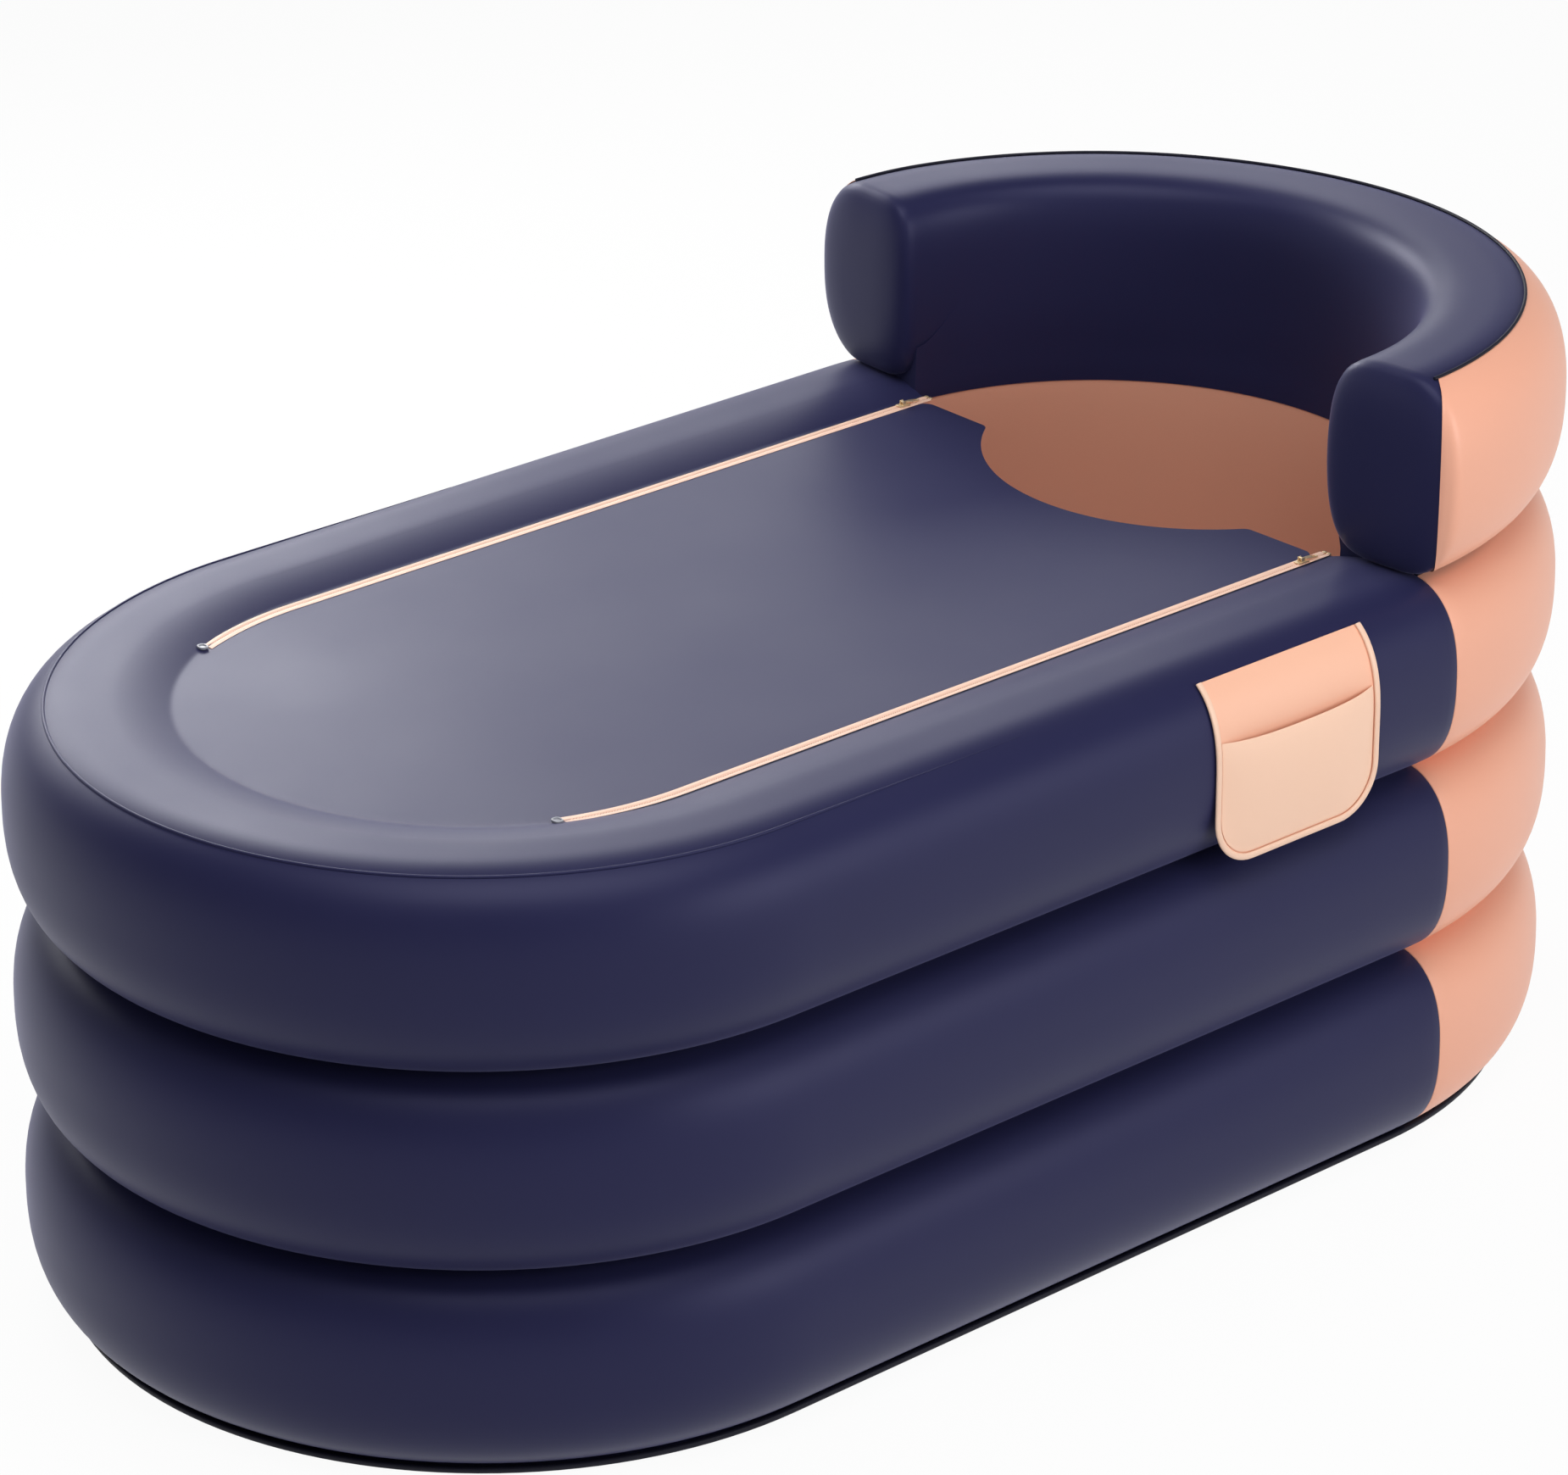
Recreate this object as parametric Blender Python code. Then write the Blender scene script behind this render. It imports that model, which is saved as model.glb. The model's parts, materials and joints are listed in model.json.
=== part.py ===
"""Inflatable bathtub: stacked air chambers, backrest, zipped cover, pocket, air valves and drain.

The origin is the middle of the base's underside. +Z is up, +X points to the backrest and
-Y is the side with the pocket. Every length is in metres.
"""

import math
from collections import namedtuple

import bmesh
import bpy
from mathutils import Matrix, Vector

# Overall sizes of the inflated tub
TUB_LENGTH = 1.500
TUB_WIDTH = 0.800
CHAMBER_HEIGHT = 0.175
CHAMBER_THICKNESS = 0.130
BACKREST_HEIGHT = 0.182
BACKREST_END_DOME = 0.020
SEAM_SETBACK = 0.025

# Sheet thicknesses and the gap left between welded pieces
SKIN = 0.0005
BASE_SKIN = 0.0010
SEAT_GAP = 0.0003
OVERRUN = 0.010

# Roundness of the inflated walls, as powers of a superellipse
BULGE_POWER = 2.46
WALL_POWER = 5.0
LUMBAR_POWER = 3.0

# Facet counts
OUTER_FACETS = 9
WALL_FACETS = 7
SIDE_STEPS = 3
FOOT_STEPS = 14
HEAD_STEPS = 13
ROUND_SIDES = 16
BEAD_SIDES = 6

# Weld beads
BASE_RIM_WIDTH = 0.006
BASE_RIM_HEIGHT = 0.0055
BASE_RIM_SETBACK = 0.0345
TOP_BEAD_RADIUS = 0.0015
TOP_BEAD_REACH = 0.25
BACKREST_BEAD_RADIUS = 0.0015
SEAT_BEAD_RADIUS = 0.0025

# Inner wall and floor cushion
WALL_TOP_DROP = 0.0135
WALL_HEAD_RISE = 0.012
CUSHION_HEIGHT = 0.045
CUSHION_MARGIN = 0.006
CUSHION_EDGE = 0.028
CUSHION_CROWN = 0.004

# Cover, its border and its zips
COVER_DROP = 0.010
COVER_SKIN = 0.0006
ZIP_FOOT_CLEARANCE = 0.007
FOLD_GAP = 0.0010
FOLD_AXIS_RISE = 0.003
VALLEY_WIDTH = 0.085
ZIP_INSET = 0.0185
ZIP_SLOT = 0.0012
TAPE_WIDTH = 0.0040
TAPE_THICKNESS = 0.0018
ZIP_HEAD_OVERLAP = 0.019
BEND_SETBACK = 0.010
BEND_INWARD = 0.015
BEND_POWER = 2
BEND_STEPS = 3
SHOULDER_OVERLAP = 0.012
SHOULDER_CORNER = 0.012
NECK_HALF_WIDTH = 0.165
NECK_DEPTH = 0.088
NECK_STEPS = 10
CORNER_STEPS = 3

# Zip sliders, pull tabs and stops
SLIDER_LENGTH = 0.012
SLIDER_WIDTH = 0.0100
SLIDER_PLATE = 0.0012
SLIDER_WEB = 0.0005
SLIDER_SETBACK = 0.030
EAR_THICKNESS = 0.0010
EAR_LENGTH = 0.0040
EAR_HEIGHT = 0.0036
PIN_RADIUS = 0.0006
PIN_RISE = 0.0022
TAB_LENGTH = 0.020
TAB_WIDTH = 0.0050
TAB_THICKNESS = 0.0010
TAB_NECK_WIDTH = 0.0026
KNUCKLE_RADIUS = 0.0015
STOP_LENGTH = 0.0030
STOP_RISE = 0.0006
FOOT_STOP_LENGTH = 0.0050
FOOT_STOP_HEIGHT = 0.0022

# Pocket on the outside of the upper chamber
POCKET_SETBACK = 0.166
POCKET_WIDTH = 0.188
POCKET_HANG = 0.095
POCKET_CORNER = 0.030
POCKET_TOP_LAP = 0.010
POCKET_SKIN = 0.0006
POUCH_DEPTH = 0.009
POUCH_MOUTH_RISE = 0.031
BINDING_RADIUS = 0.0016
POUCH_SIDE_POWER = 4
POCKET_COLUMNS = 12
POUCH_ROWS = 6

# Air valves
VALVE_BORE = 0.0090
VALVE_NECK_WALL = 0.0022
VALVE_NECK_DEPTH = 0.011
VALVE_FLANGE_RADIUS = 0.0185
VALVE_FLANGE_THICKNESS = 0.0015
VALVE_RIM_HEIGHT = 0.0020
VALVE_HINGE_RADIUS = 0.0160
CAP_TOP = 0.0018
CAP_LIP = 0.0012
CAP_PLUG_DEPTH = 0.0034
CAP_PLUG_CLEARANCE = 0.0005
STRAP_WIDTH = 0.0060
STRAP_THICKNESS = 0.0010
STRAP_POST_THICKNESS = 0.0024
FLAP_THICKNESS = 0.0010
FLOOR_VALVE_SETBACK = 0.110

# Drain through the lower chamber
DRAIN_SETBACK = 0.120
DRAIN_BORE = 0.0110
DRAIN_WALL = 0.0022
DRAIN_FLANGE_RADIUS = 0.0190
DRAIN_FLANGE_THICKNESS = 0.0015
DRAIN_SPIGOT = 0.0100
DRAIN_SOCKET = 0.0120
DRAIN_CAP_WALL = 0.0022
DRAIN_CAP_SKIRT = 0.0080
WASHER_THICKNESS = 0.0015
PLUG_LENGTH = 0.012
PLUG_HEAD_RADIUS = 0.0150
PLUG_HEAD_THICKNESS = 0.0025
PLUG_CLEARANCE = 0.0003
PLUG_GRIP_WIDTH = 0.014
PLUG_GRIP_HEIGHT = 0.010
PLUG_GRIP_THICKNESS = 0.0030

# Profile shares, from the carrier's edge to the far end
DOME_SCALE_SHARES = (0.985, 0.93, 0.80, 0.55)
DOME_REACH_SHARES = (0.35, 0.68, 0.90, 0.98)
BORDER_SHARES = (0.0, 0.22, 0.45, 0.70, 1.0)
BORDER_FLAT_SHARE = 0.70

# Places worked out from the sizes above
STRAIGHT = (TUB_LENGTH - TUB_WIDTH) / 2
OUTER_RADIUS = TUB_WIDTH / 2
TUBE_RADIUS = OUTER_RADIUS - CHAMBER_THICKNESS / 2
WALL_RADIUS = OUTER_RADIUS - CHAMBER_THICKNESS
CHAMBERS = ("lower", "middle", "upper")
CHAMBER_TOP = BASE_SKIN + len(CHAMBERS) * CHAMBER_HEIGHT
COVER_Z = CHAMBER_TOP - COVER_DROP
BEND_X = -STRAIGHT - BEND_SETBACK
ZIP_Y = WALL_RADIUS - ZIP_INSET
ZIP_FOOT_Y = ZIP_Y - BEND_INWARD
FOLD_X = -STRAIGHT - math.sqrt((WALL_RADIUS - ZIP_FOOT_CLEARANCE) ** 2 - ZIP_FOOT_Y ** 2)
ZIP_HEAD_X = STRAIGHT + ZIP_HEAD_OVERLAP
SHOULDER_X = STRAIGHT + SHOULDER_OVERLAP
TAPE_TOP = COVER_Z + (TAPE_THICKNESS - COVER_SKIN) / 2
POCKET_X = STRAIGHT - POCKET_SETBACK
DRAIN_X = -STRAIGHT + DRAIN_SETBACK
SEAM_ANGLE = math.asin(SEAM_SETBACK / TUBE_RADIUS)
SEAM_GAP_ANGLE = math.asin((SEAM_SETBACK + SEAT_GAP) / TUBE_RADIUS)
QUARTER = math.pi / 2
SHARP_ANGLE = math.radians(40)

Station = namedtuple("Station", "anchor out_x out_y")
Section = namedtuple("Section", "points mid_z")


# Materials
def paint(name, colour, roughness, metallic=0.0):
    """A Principled material."""
    material = bpy.data.materials.new(name)
    material.use_nodes = True
    shader = material.node_tree.nodes["Principled BSDF"]
    shader.inputs["Base Color"].default_value = (*colour, 1.0)
    shader.inputs["Roughness"].default_value = roughness
    shader.inputs["Metallic"].default_value = metallic
    material.diffuse_color = (*colour, 1.0)
    return material


for old_object in list(bpy.data.objects):
    bpy.data.objects.remove(old_object, do_unlink=True)

NAVY = paint("navy_sheet", (0.045, 0.043, 0.115), 0.35)
PEACH = paint("peach_sheet", (0.90, 0.45, 0.30), 0.38)
PALE_PEACH = paint("pale_peach_trim", (0.95, 0.66, 0.50), 0.45)
DARK = paint("dark_bead", (0.012, 0.012, 0.025), 0.40)
BRASS = paint("brass", (0.80, 0.58, 0.28), 0.28, 1.0)
GREY = paint("grey_plastic", (0.32, 0.33, 0.36), 0.45)
VALVE_WHITE = paint("valve_white", (0.78, 0.79, 0.80), 0.42)
SILICONE = paint("silicone", (0.60, 0.61, 0.60), 0.60)


# Building blocks
def superellipse(angle, half_width, half_height, power):
    """A point of a superellipse, as (outward, upward)."""
    across, up = math.cos(angle), math.sin(angle)
    outward = math.copysign(abs(across) ** (2 / power), across) * half_width
    upward = math.copysign(abs(up) ** (2 / power), up) * half_height
    return outward, upward


def tube_section(thickness, height, mid_z, top_power, foot_power):
    """Outline of an inflated tube, anticlockwise from its foot: outward offset and height."""
    points = []
    for step in range(OUTER_FACETS):
        angle = math.pi * step / OUTER_FACETS - QUARTER
        points.append(superellipse(angle, thickness / 2, height / 2, BULGE_POWER))
    for step in range(WALL_FACETS):
        angle = math.pi * step / WALL_FACETS + QUARTER
        power = top_power if math.sin(angle) > 0 else foot_power
        points.append(superellipse(angle, thickness / 2, height / 2, power))
    widest_out = max(point[0] for point in points)
    widest_in = -min(point[0] for point in points)
    reach = {True: thickness / 2 / widest_out, False: thickness / 2 / widest_in}
    return Section([(u * reach[u > 0], v) for u, v in points], mid_z)


def station(anchor, angle):
    """A place on the tub's oval: the angle runs clockwise seen from above, from -Y."""
    return Station(anchor, -math.sin(angle), -math.cos(angle))


def arc(anchor, first, last, steps):
    return [station(anchor, first + (last - first) * step / steps) for step in range(steps + 1)]


def front_stations():
    """From the -Y seam, round the foot end, to the +Y seam."""
    side = [STRAIGHT - 2 * STRAIGHT * step / SIDE_STEPS for step in range(SIDE_STEPS)]
    near = [station(x, 0.0) for x in side]
    far = [station(x, math.pi) for x in reversed(side)]
    foot = arc(-STRAIGHT, 0.0, math.pi, FOOT_STEPS)
    ends = [station(STRAIGHT, angle) for angle in (-SEAM_ANGLE, math.pi + SEAM_ANGLE)]
    return [ends[0], *near, *foot, *far, ends[1]]


def rear_stations(seam_angle):
    """From the +Y seam, round the head end, to the -Y seam."""
    return arc(STRAIGHT, math.pi + seam_angle, 2 * math.pi - seam_angle, HEAD_STEPS)


def loop_stations():
    """All the way round, each place once."""
    return front_stations()[:-1] + rear_stations(SEAM_ANGLE)[:-1]


def spot(place, radius, z):
    return Vector((place.anchor + place.out_x * radius, place.out_y * radius, z))


def foot_chord(place, radius):
    """Distance from the foot arc's centre to a faceted ring of this radius, in one direction."""
    angle = math.atan2(-place.out_x, -place.out_y)
    if place.anchor > -STRAIGHT or angle <= 0:
        return radius
    step = math.pi / FOOT_STEPS
    return radius * math.cos(step / 2) / math.cos(angle % step - step / 2)


def section_ring(place, section, radius=TUBE_RADIUS):
    return [spot(place, radius + u, section.mid_z + v) for u, v in section.points]


def loft(rings, closed=False, capped=False):
    """A surface through rings of equal length, facing out where they run clockwise."""
    bm = bmesh.new()
    rows = [[bm.verts.new(point) for point in ring] for ring in rings]
    following = rows[1:] + rows[:1] if closed else rows[1:]
    for row, after in zip(rows, following):
        for index in range(len(row)):
            beyond = (index + 1) % len(row)
            bm.faces.new((row[index], row[beyond], after[beyond], after[index]))
    if capped:
        bm.faces.new(reversed(rows[0]))
        bm.faces.new(rows[-1])
    return bm


def grid(rows):
    """An open sheet through rows of points."""
    bm = bmesh.new()
    made = [[bm.verts.new(point) for point in row] for row in rows]
    for row, after in zip(made, made[1:]):
        for index in range(len(row) - 1):
            bm.faces.new((row[index], row[index + 1], after[index + 1], after[index]))
    return bm


def turned(profile, sides=ROUND_SIDES):
    """A solid turned about local Z from anticlockwise (radius, height) points."""
    bm = bmesh.new()
    on_axis = {index: bm.verts.new((0.0, 0.0, point[1]))
               for index, point in enumerate(profile) if point[0] == 0.0}
    columns = []
    for side in range(sides):
        angle = 2 * math.pi * (side + 0.5) / sides
        column = []
        for index, (radius, height) in enumerate(profile):
            rim = (radius * math.cos(angle), radius * math.sin(angle), height)
            column.append(on_axis[index] if index in on_axis else bm.verts.new(rim))
        columns.append(column)
    count = len(profile)
    for column, after in zip(columns, columns[1:] + columns[:1]):
        for index in range(count):
            beyond = (index + 1) % count
            if index in on_axis and beyond in on_axis:
                continue
            corners = (column[index], after[index], after[beyond], column[beyond])
            bm.faces.new(tuple(dict.fromkeys(corners)))
    return bm


def prism(outline, low, high):
    """A straight solid over an anticlockwise outline of (x, y) points."""
    bm = bmesh.new()
    base = [bm.verts.new((x, y, low)) for x, y in outline]
    top = [bm.verts.new((x, y, high)) for x, y in outline]
    bm.faces.new(reversed(base))
    bm.faces.new(top)
    for index in range(len(outline)):
        beyond = (index + 1) % len(outline)
        bm.faces.new((base[index], base[beyond], top[beyond], top[index]))
    return bm


def block(low, high):
    """A box between two corners."""
    outline = [(low[0], low[1]), (high[0], low[1]), (high[0], high[1]), (low[0], high[1])]
    return prism(outline, low[2], high[2])


def add(name, bm, material, place=None):
    """A new object from a bmesh, at a place if one is given."""
    mesh = bpy.data.meshes.new(name)
    bm.to_mesh(mesh)
    bm.free()
    mesh.materials.append(material)
    mesh.shade_smooth()
    mesh.set_sharp_from_angle(angle=SHARP_ANGLE)
    obj = bpy.data.objects.new(name, mesh)
    bpy.context.collection.objects.link(obj)
    if place is not None:
        obj.matrix_world = place
    return obj


def thicken(obj, thickness, side):
    """Gives a sheet its thickness: side -1 grows it inwards, 1 outwards."""
    skin = obj.modifiers.new("skin", "SOLIDIFY")
    skin.thickness = thickness
    skin.offset = side
    skin.use_even_offset = True
    return obj


def boolean(obj, other, operation):
    """Cuts another object from this one, or joins it on."""
    other.hide_render = True
    other.display_type = "WIRE"
    change = obj.modifiers.new(other.name, "BOOLEAN")
    change.operation = operation
    change.solver = "EXACT"
    change.object = other


def facing(origin, axis, up):
    """A matrix at origin whose local Z is axis and whose local Y is up."""
    across = up.cross(axis)
    turn = Matrix((across, up, axis)).transposed().to_4x4()
    return Matrix.Translation(origin) @ turn


def under(parent, obj):
    """Parents an object without moving it."""
    obj.parent = parent
    obj.matrix_parent_inverse = parent.matrix_world.inverted()


def empty(name, origin):
    handle = bpy.data.objects.new(name, None)
    bpy.context.collection.objects.link(handle)
    handle.location = origin
    bpy.context.view_layer.update()
    return handle


# Air chambers
def chamber_section(level):
    height = CHAMBER_HEIGHT - SEAT_GAP
    mid_z = BASE_SKIN + (level + 0.5) * CHAMBER_HEIGHT + SEAT_GAP / 2
    return tube_section(CHAMBER_THICKNESS, height, mid_z, WALL_POWER, WALL_POWER)


def build_chambers():
    """Each chamber is a navy tube round the foot, welded to a peach tube round the head."""
    made = {}
    for level, name in enumerate(CHAMBERS):
        section = chamber_section(level)
        for part, places, material in (
            ("front", front_stations(), NAVY),
            ("rear", rear_stations(SEAM_GAP_ANGLE), PEACH),
        ):
            tube = loft([section_ring(place, section) for place in places])
            obj = add(f"{name}_chamber_{part}", tube, material)
            made[f"{name}_{part}"] = thicken(obj, SKIN, -1)
    return made


def build_base():
    """The floor sheet and the black bead welded round its edge."""
    rim_outer = OUTER_RADIUS - BASE_RIM_SETBACK + BASE_RIM_WIDTH
    rim_inner = rim_outer - BASE_RIM_WIDTH
    outline = [spot(place, rim_inner - SEAT_GAP, 0.0) for place in loop_stations()]
    sheet = prism([(point.x, point.y) for point in reversed(outline)], 0.0, BASE_SKIN)
    add("base_sheet", sheet, NAVY)
    profile = [(rim_inner, 0.0), (rim_outer, 0.0),
               (rim_outer, BASE_RIM_HEIGHT / 2), (rim_inner, BASE_RIM_HEIGHT)]
    rings = [[spot(place, r, z) for r, z in profile] for place in loop_stations()]
    add("base_rim_bead", loft(rings, closed=True), DARK)


def build_inner_wall():
    """One peach sheet lines the well, and rises behind the bather to the backrest."""
    radius = WALL_RADIUS - SEAT_GAP
    foot = BASE_SKIN + SEAT_GAP
    top = CHAMBER_TOP - WALL_TOP_DROP
    rings = []
    for place in loop_stations():
        behind = place.anchor > 0 and place.out_x > math.sin(SEAM_GAP_ANGLE)
        high = top + WALL_HEAD_RISE if behind else top
        rings.append([spot(place, radius - SKIN, foot), spot(place, radius, foot),
                      spot(place, radius, high), spot(place, radius - SKIN, high)])
    return add("inner_wall", loft(rings, closed=True), PEACH)


def oval(radius, z):
    return [spot(place, radius, z) for place in loop_stations()]


def build_floor_cushion():
    """A low air cushion with drawn-in sides and a slight crown, hollow inside."""
    edge = WALL_RADIUS - SEAT_GAP - SKIN - CUSHION_MARGIN
    foot = BASE_SKIN + SEAT_GAP
    middle = foot + CUSHION_HEIGHT / 2
    half = (CUSHION_HEIGHT - CUSHION_CROWN) / 2
    rings = []
    for step in range(OUTER_FACETS + 1):
        angle = math.pi * step / OUTER_FACETS - QUARTER
        inward, up = superellipse(angle, CUSHION_EDGE, half, BULGE_POWER)
        rings.append(oval(edge - CUSHION_EDGE + inward, middle - CUSHION_CROWN / 2 + up))
    top = foot + CUSHION_HEIGHT
    rings.append(oval((edge - CUSHION_EDGE) / 2, top))
    bm = loft(rings, capped=True)
    if bm.calc_volume(signed=True) < 0:
        bmesh.ops.reverse_faces(bm, faces=bm.faces)
    return thicken(add("floor_cushion", bm, PEACH), SKIN, -1)


# Backrest
def backrest_section():
    height = BACKREST_HEIGHT - SEAT_GAP
    mid_z = CHAMBER_TOP + SEAT_GAP + height / 2
    return tube_section(CHAMBER_THICKNESS, height, mid_z, LUMBAR_POWER, WALL_POWER)


def dome_rings(place, section, away):
    """Shrinking rings that close one end of the backrest with a low dome."""
    rings = []
    for scale, reach in zip(DOME_SCALE_SHARES, DOME_REACH_SHARES):
        shrunk = Section([(u * scale, v * scale) for u, v in section.points], section.mid_z)
        shift = away * BACKREST_END_DOME * reach
        rings.append([point + shift for point in section_ring(place, shrunk)])
    return rings


def build_backrest():
    """A C-shaped air chamber, its peach outer panel and the beads along both edges."""
    section = backrest_section()
    places = rear_stations(SEAM_ANGLE)
    far, near = places[0], places[-1]
    far_away = Vector((far.out_y, -far.out_x, 0.0)) * -1.0
    near_away = Vector((near.out_y, -near.out_x, 0.0))
    rings = list(reversed(dome_rings(far, section, far_away)))
    rings += [section_ring(place, section) for place in places]
    rings += dome_rings(near, section, near_away)
    chamber = thicken(add("backrest_chamber", loft(rings, capped=True), NAVY), SKIN, -1)

    outer = [point for index, point in enumerate(section.points) if 0 < index < OUTER_FACETS]
    rows = []
    for place in places:
        face = [spot(place, TUBE_RADIUS + u, section.mid_z + v) for u, v in outer]
        out = Vector((place.out_x, place.out_y, 0.0))
        rows.append([point + out * SEAT_GAP for point in face])
    panel = thicken(add("backrest_outer_panel", grid(rows), PEACH), SKIN, 1)

    shoulder_u, shoulder_v = outer[-1]
    rise = SEAT_GAP + BACKREST_BEAD_RADIUS
    bead_z = section.mid_z + shoulder_v + rise
    add("backrest_rim_bead", bead(places, TUBE_RADIUS + shoulder_u, bead_z,
                                  BACKREST_BEAD_RADIUS), DARK)
    seat_z = CHAMBER_TOP + SEAT_GAP / 2
    add("backrest_seat_bead", bead(places, TUBE_RADIUS + crease_depth(), seat_z,
                                   SEAT_BEAD_RADIUS), DARK)
    return chamber, panel


def crease_depth():
    """How far outside the crown line the crease under the backrest is wide enough for its bead."""
    points = chamber_section(len(CHAMBERS) - 1).points
    crown, shoulder = points[OUTER_FACETS], points[OUTER_FACETS - 1]
    run, drop = shoulder[0] - crown[0], crown[1] - shoulder[1]
    return (SEAT_BEAD_RADIUS + SEAT_GAP / 2) * run / drop


def bead(places, radius, z, bead_radius):
    """A round bead along the given places."""
    rings = []
    for place in places:
        ring = []
        for side in range(BEAD_SIDES):
            angle = 2 * math.pi * side / BEAD_SIDES
            ring.append(spot(place, radius + bead_radius * math.cos(angle),
                             z + bead_radius * math.sin(angle)))
        rings.append(ring)
    return loft(rings, capped=True)


def build_top_bead():
    """The ridge where the upper chamber's top sheet is welded to its side, round the foot."""
    section = chamber_section(len(CHAMBERS) - 1)
    u, v = section.points[OUTER_FACETS - 2]
    lift = (SEAT_GAP + TOP_BEAD_RADIUS) / math.sqrt(2)
    start = station(-STRAIGHT + TOP_BEAD_REACH, 0.0)
    end = station(-STRAIGHT + TOP_BEAD_REACH, math.pi)
    places = [start, *arc(-STRAIGHT, 0.0, math.pi, FOOT_STEPS), end]
    bm = bead(places, TUBE_RADIUS + u + lift, section.mid_z + v + lift, TOP_BEAD_RADIUS)
    add("top_rim_bead", bm, DARK)


# Cover, its border and its zips
def zip_places():
    """Middle line of one zip, as (x, distance from the tub's middle), head to foot."""
    places = [(ZIP_HEAD_X, ZIP_Y)]
    for step in range(BEND_STEPS + 1):
        share = step / BEND_STEPS
        x = BEND_X + (FOLD_X - BEND_X) * share
        places.append((x, ZIP_Y - BEND_INWARD * share ** BEND_POWER))
    return places


def build_cover_border():
    """Navy sheet from the upper chamber's crown down to the zips and the fold line."""
    section = chamber_section(len(CHAMBERS) - 1)
    shoulder_u, shoulder_v = section.points[OUTER_FACETS + 1]
    shoulder = TUBE_RADIUS + shoulder_u
    high = section.mid_z + shoulder_v + SEAT_GAP
    low = COVER_Z - COVER_SKIN
    half_zip = ZIP_SLOT / 2 + TAPE_WIDTH + SEAT_GAP
    edge = FOLD_X - FOLD_GAP / 2

    stops = [(station(STRAIGHT, -SEAM_ANGLE), (ZIP_Y + half_zip) / math.cos(SEAM_ANGLE))]
    for step in range(SIDE_STEPS + 1):
        x = STRAIGHT - 2 * STRAIGHT * step / SIDE_STEPS
        stops.append((station(x, 0.0), ZIP_Y + half_zip))
    for x, y in zip_places()[1:]:
        last = min(x, -STRAIGHT)
        if x == FOLD_X:
            last = edge
        angle = math.atan2(-STRAIGHT - last, y + half_zip)
        stops.append((station(-STRAIGHT, angle), math.hypot(-STRAIGHT - last, y + half_zip)))
    corner = math.atan2(-STRAIGHT - edge, ZIP_FOOT_Y + half_zip)
    for step in range(FOOT_STEPS // 2 + 1):
        angle = math.pi * step / FOOT_STEPS
        if angle > corner + math.pi / FOOT_STEPS / 2:
            stops.append((station(-STRAIGHT, angle), (-STRAIGHT - edge) / math.sin(angle)))

    rows = []
    for place, inner in stops:
        rim = foot_chord(place, shoulder)
        width = min(VALLEY_WIDTH, (rim - inner) * BORDER_FLAT_SHARE)
        row = []
        for share in BORDER_SHARES:
            fall = (1 - math.cos(math.pi * share)) / 2
            row.append(spot(place, rim - width * share, high + (low - high) * fall))
        row.append(spot(place, inner, low))
        rows.append(row)
    mirrored = [[Vector((p.x, -p.y, p.z)) for p in row] for row in reversed(rows[:-1])]
    return thicken(add("cover_border", grid(rows + mirrored), NAVY), COVER_SKIN, 1)


def build_cover():
    """The loose part of the cover, between the zips, with the neck cut out."""
    inset = ZIP_SLOT / 2 + TAPE_WIDTH + SEAT_GAP
    side = [(x, y - inset) for x, y in zip_places()]
    side[0] = (SHOULDER_X - SHOULDER_CORNER, side[0][1])
    side[-1] = (FOLD_X + FOLD_GAP / 2, side[-1][1])
    half = [(x, -y) for x, y in reversed(side)]
    shoulder_y = side[0][1]
    for step in range(1, CORNER_STEPS + 1):
        angle = QUARTER * step / CORNER_STEPS
        half.append((SHOULDER_X - SHOULDER_CORNER * (1 - math.sin(angle)),
                     SHOULDER_CORNER * (1 - math.cos(angle)) - shoulder_y))
    neck_radius = (NECK_HALF_WIDTH ** 2 + NECK_DEPTH ** 2) / (2 * NECK_DEPTH)
    sweep = math.asin(NECK_HALF_WIDTH / neck_radius)
    centre = SHOULDER_X - NECK_DEPTH + neck_radius
    for step in range(NECK_STEPS + 1):
        angle = sweep * (step / NECK_STEPS - 1)
        half.append((centre - neck_radius * math.cos(angle), neck_radius * math.sin(angle)))
    other = [(x, -y) for x, y in reversed(half[:-1])]
    return add("cover_sheet", prism(half + other, COVER_Z - COVER_SKIN, COVER_Z), NAVY)


def tape(inner, outer):
    """Half a zip's tape and teeth between two distances from the zip's middle line."""
    line = zip_places()
    line[-1] = (FOLD_X + FOLD_GAP / 2, line[-1][1])
    near = [(x, y + inner) for x, y in line]
    far = [(x, y + outer) for x, y in line]
    return near + far[::-1]


def handed(outline, side):
    """The outline on the -Y side (left) or the +Y side (right), anticlockwise."""
    moved = [(x, y * side) for x, y in outline]
    area = sum(a[0] * b[1] - b[0] * a[1] for a, b in zip(moved, moved[1:] + moved[:1]))
    return moved if area > 0 else moved[::-1]


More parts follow.
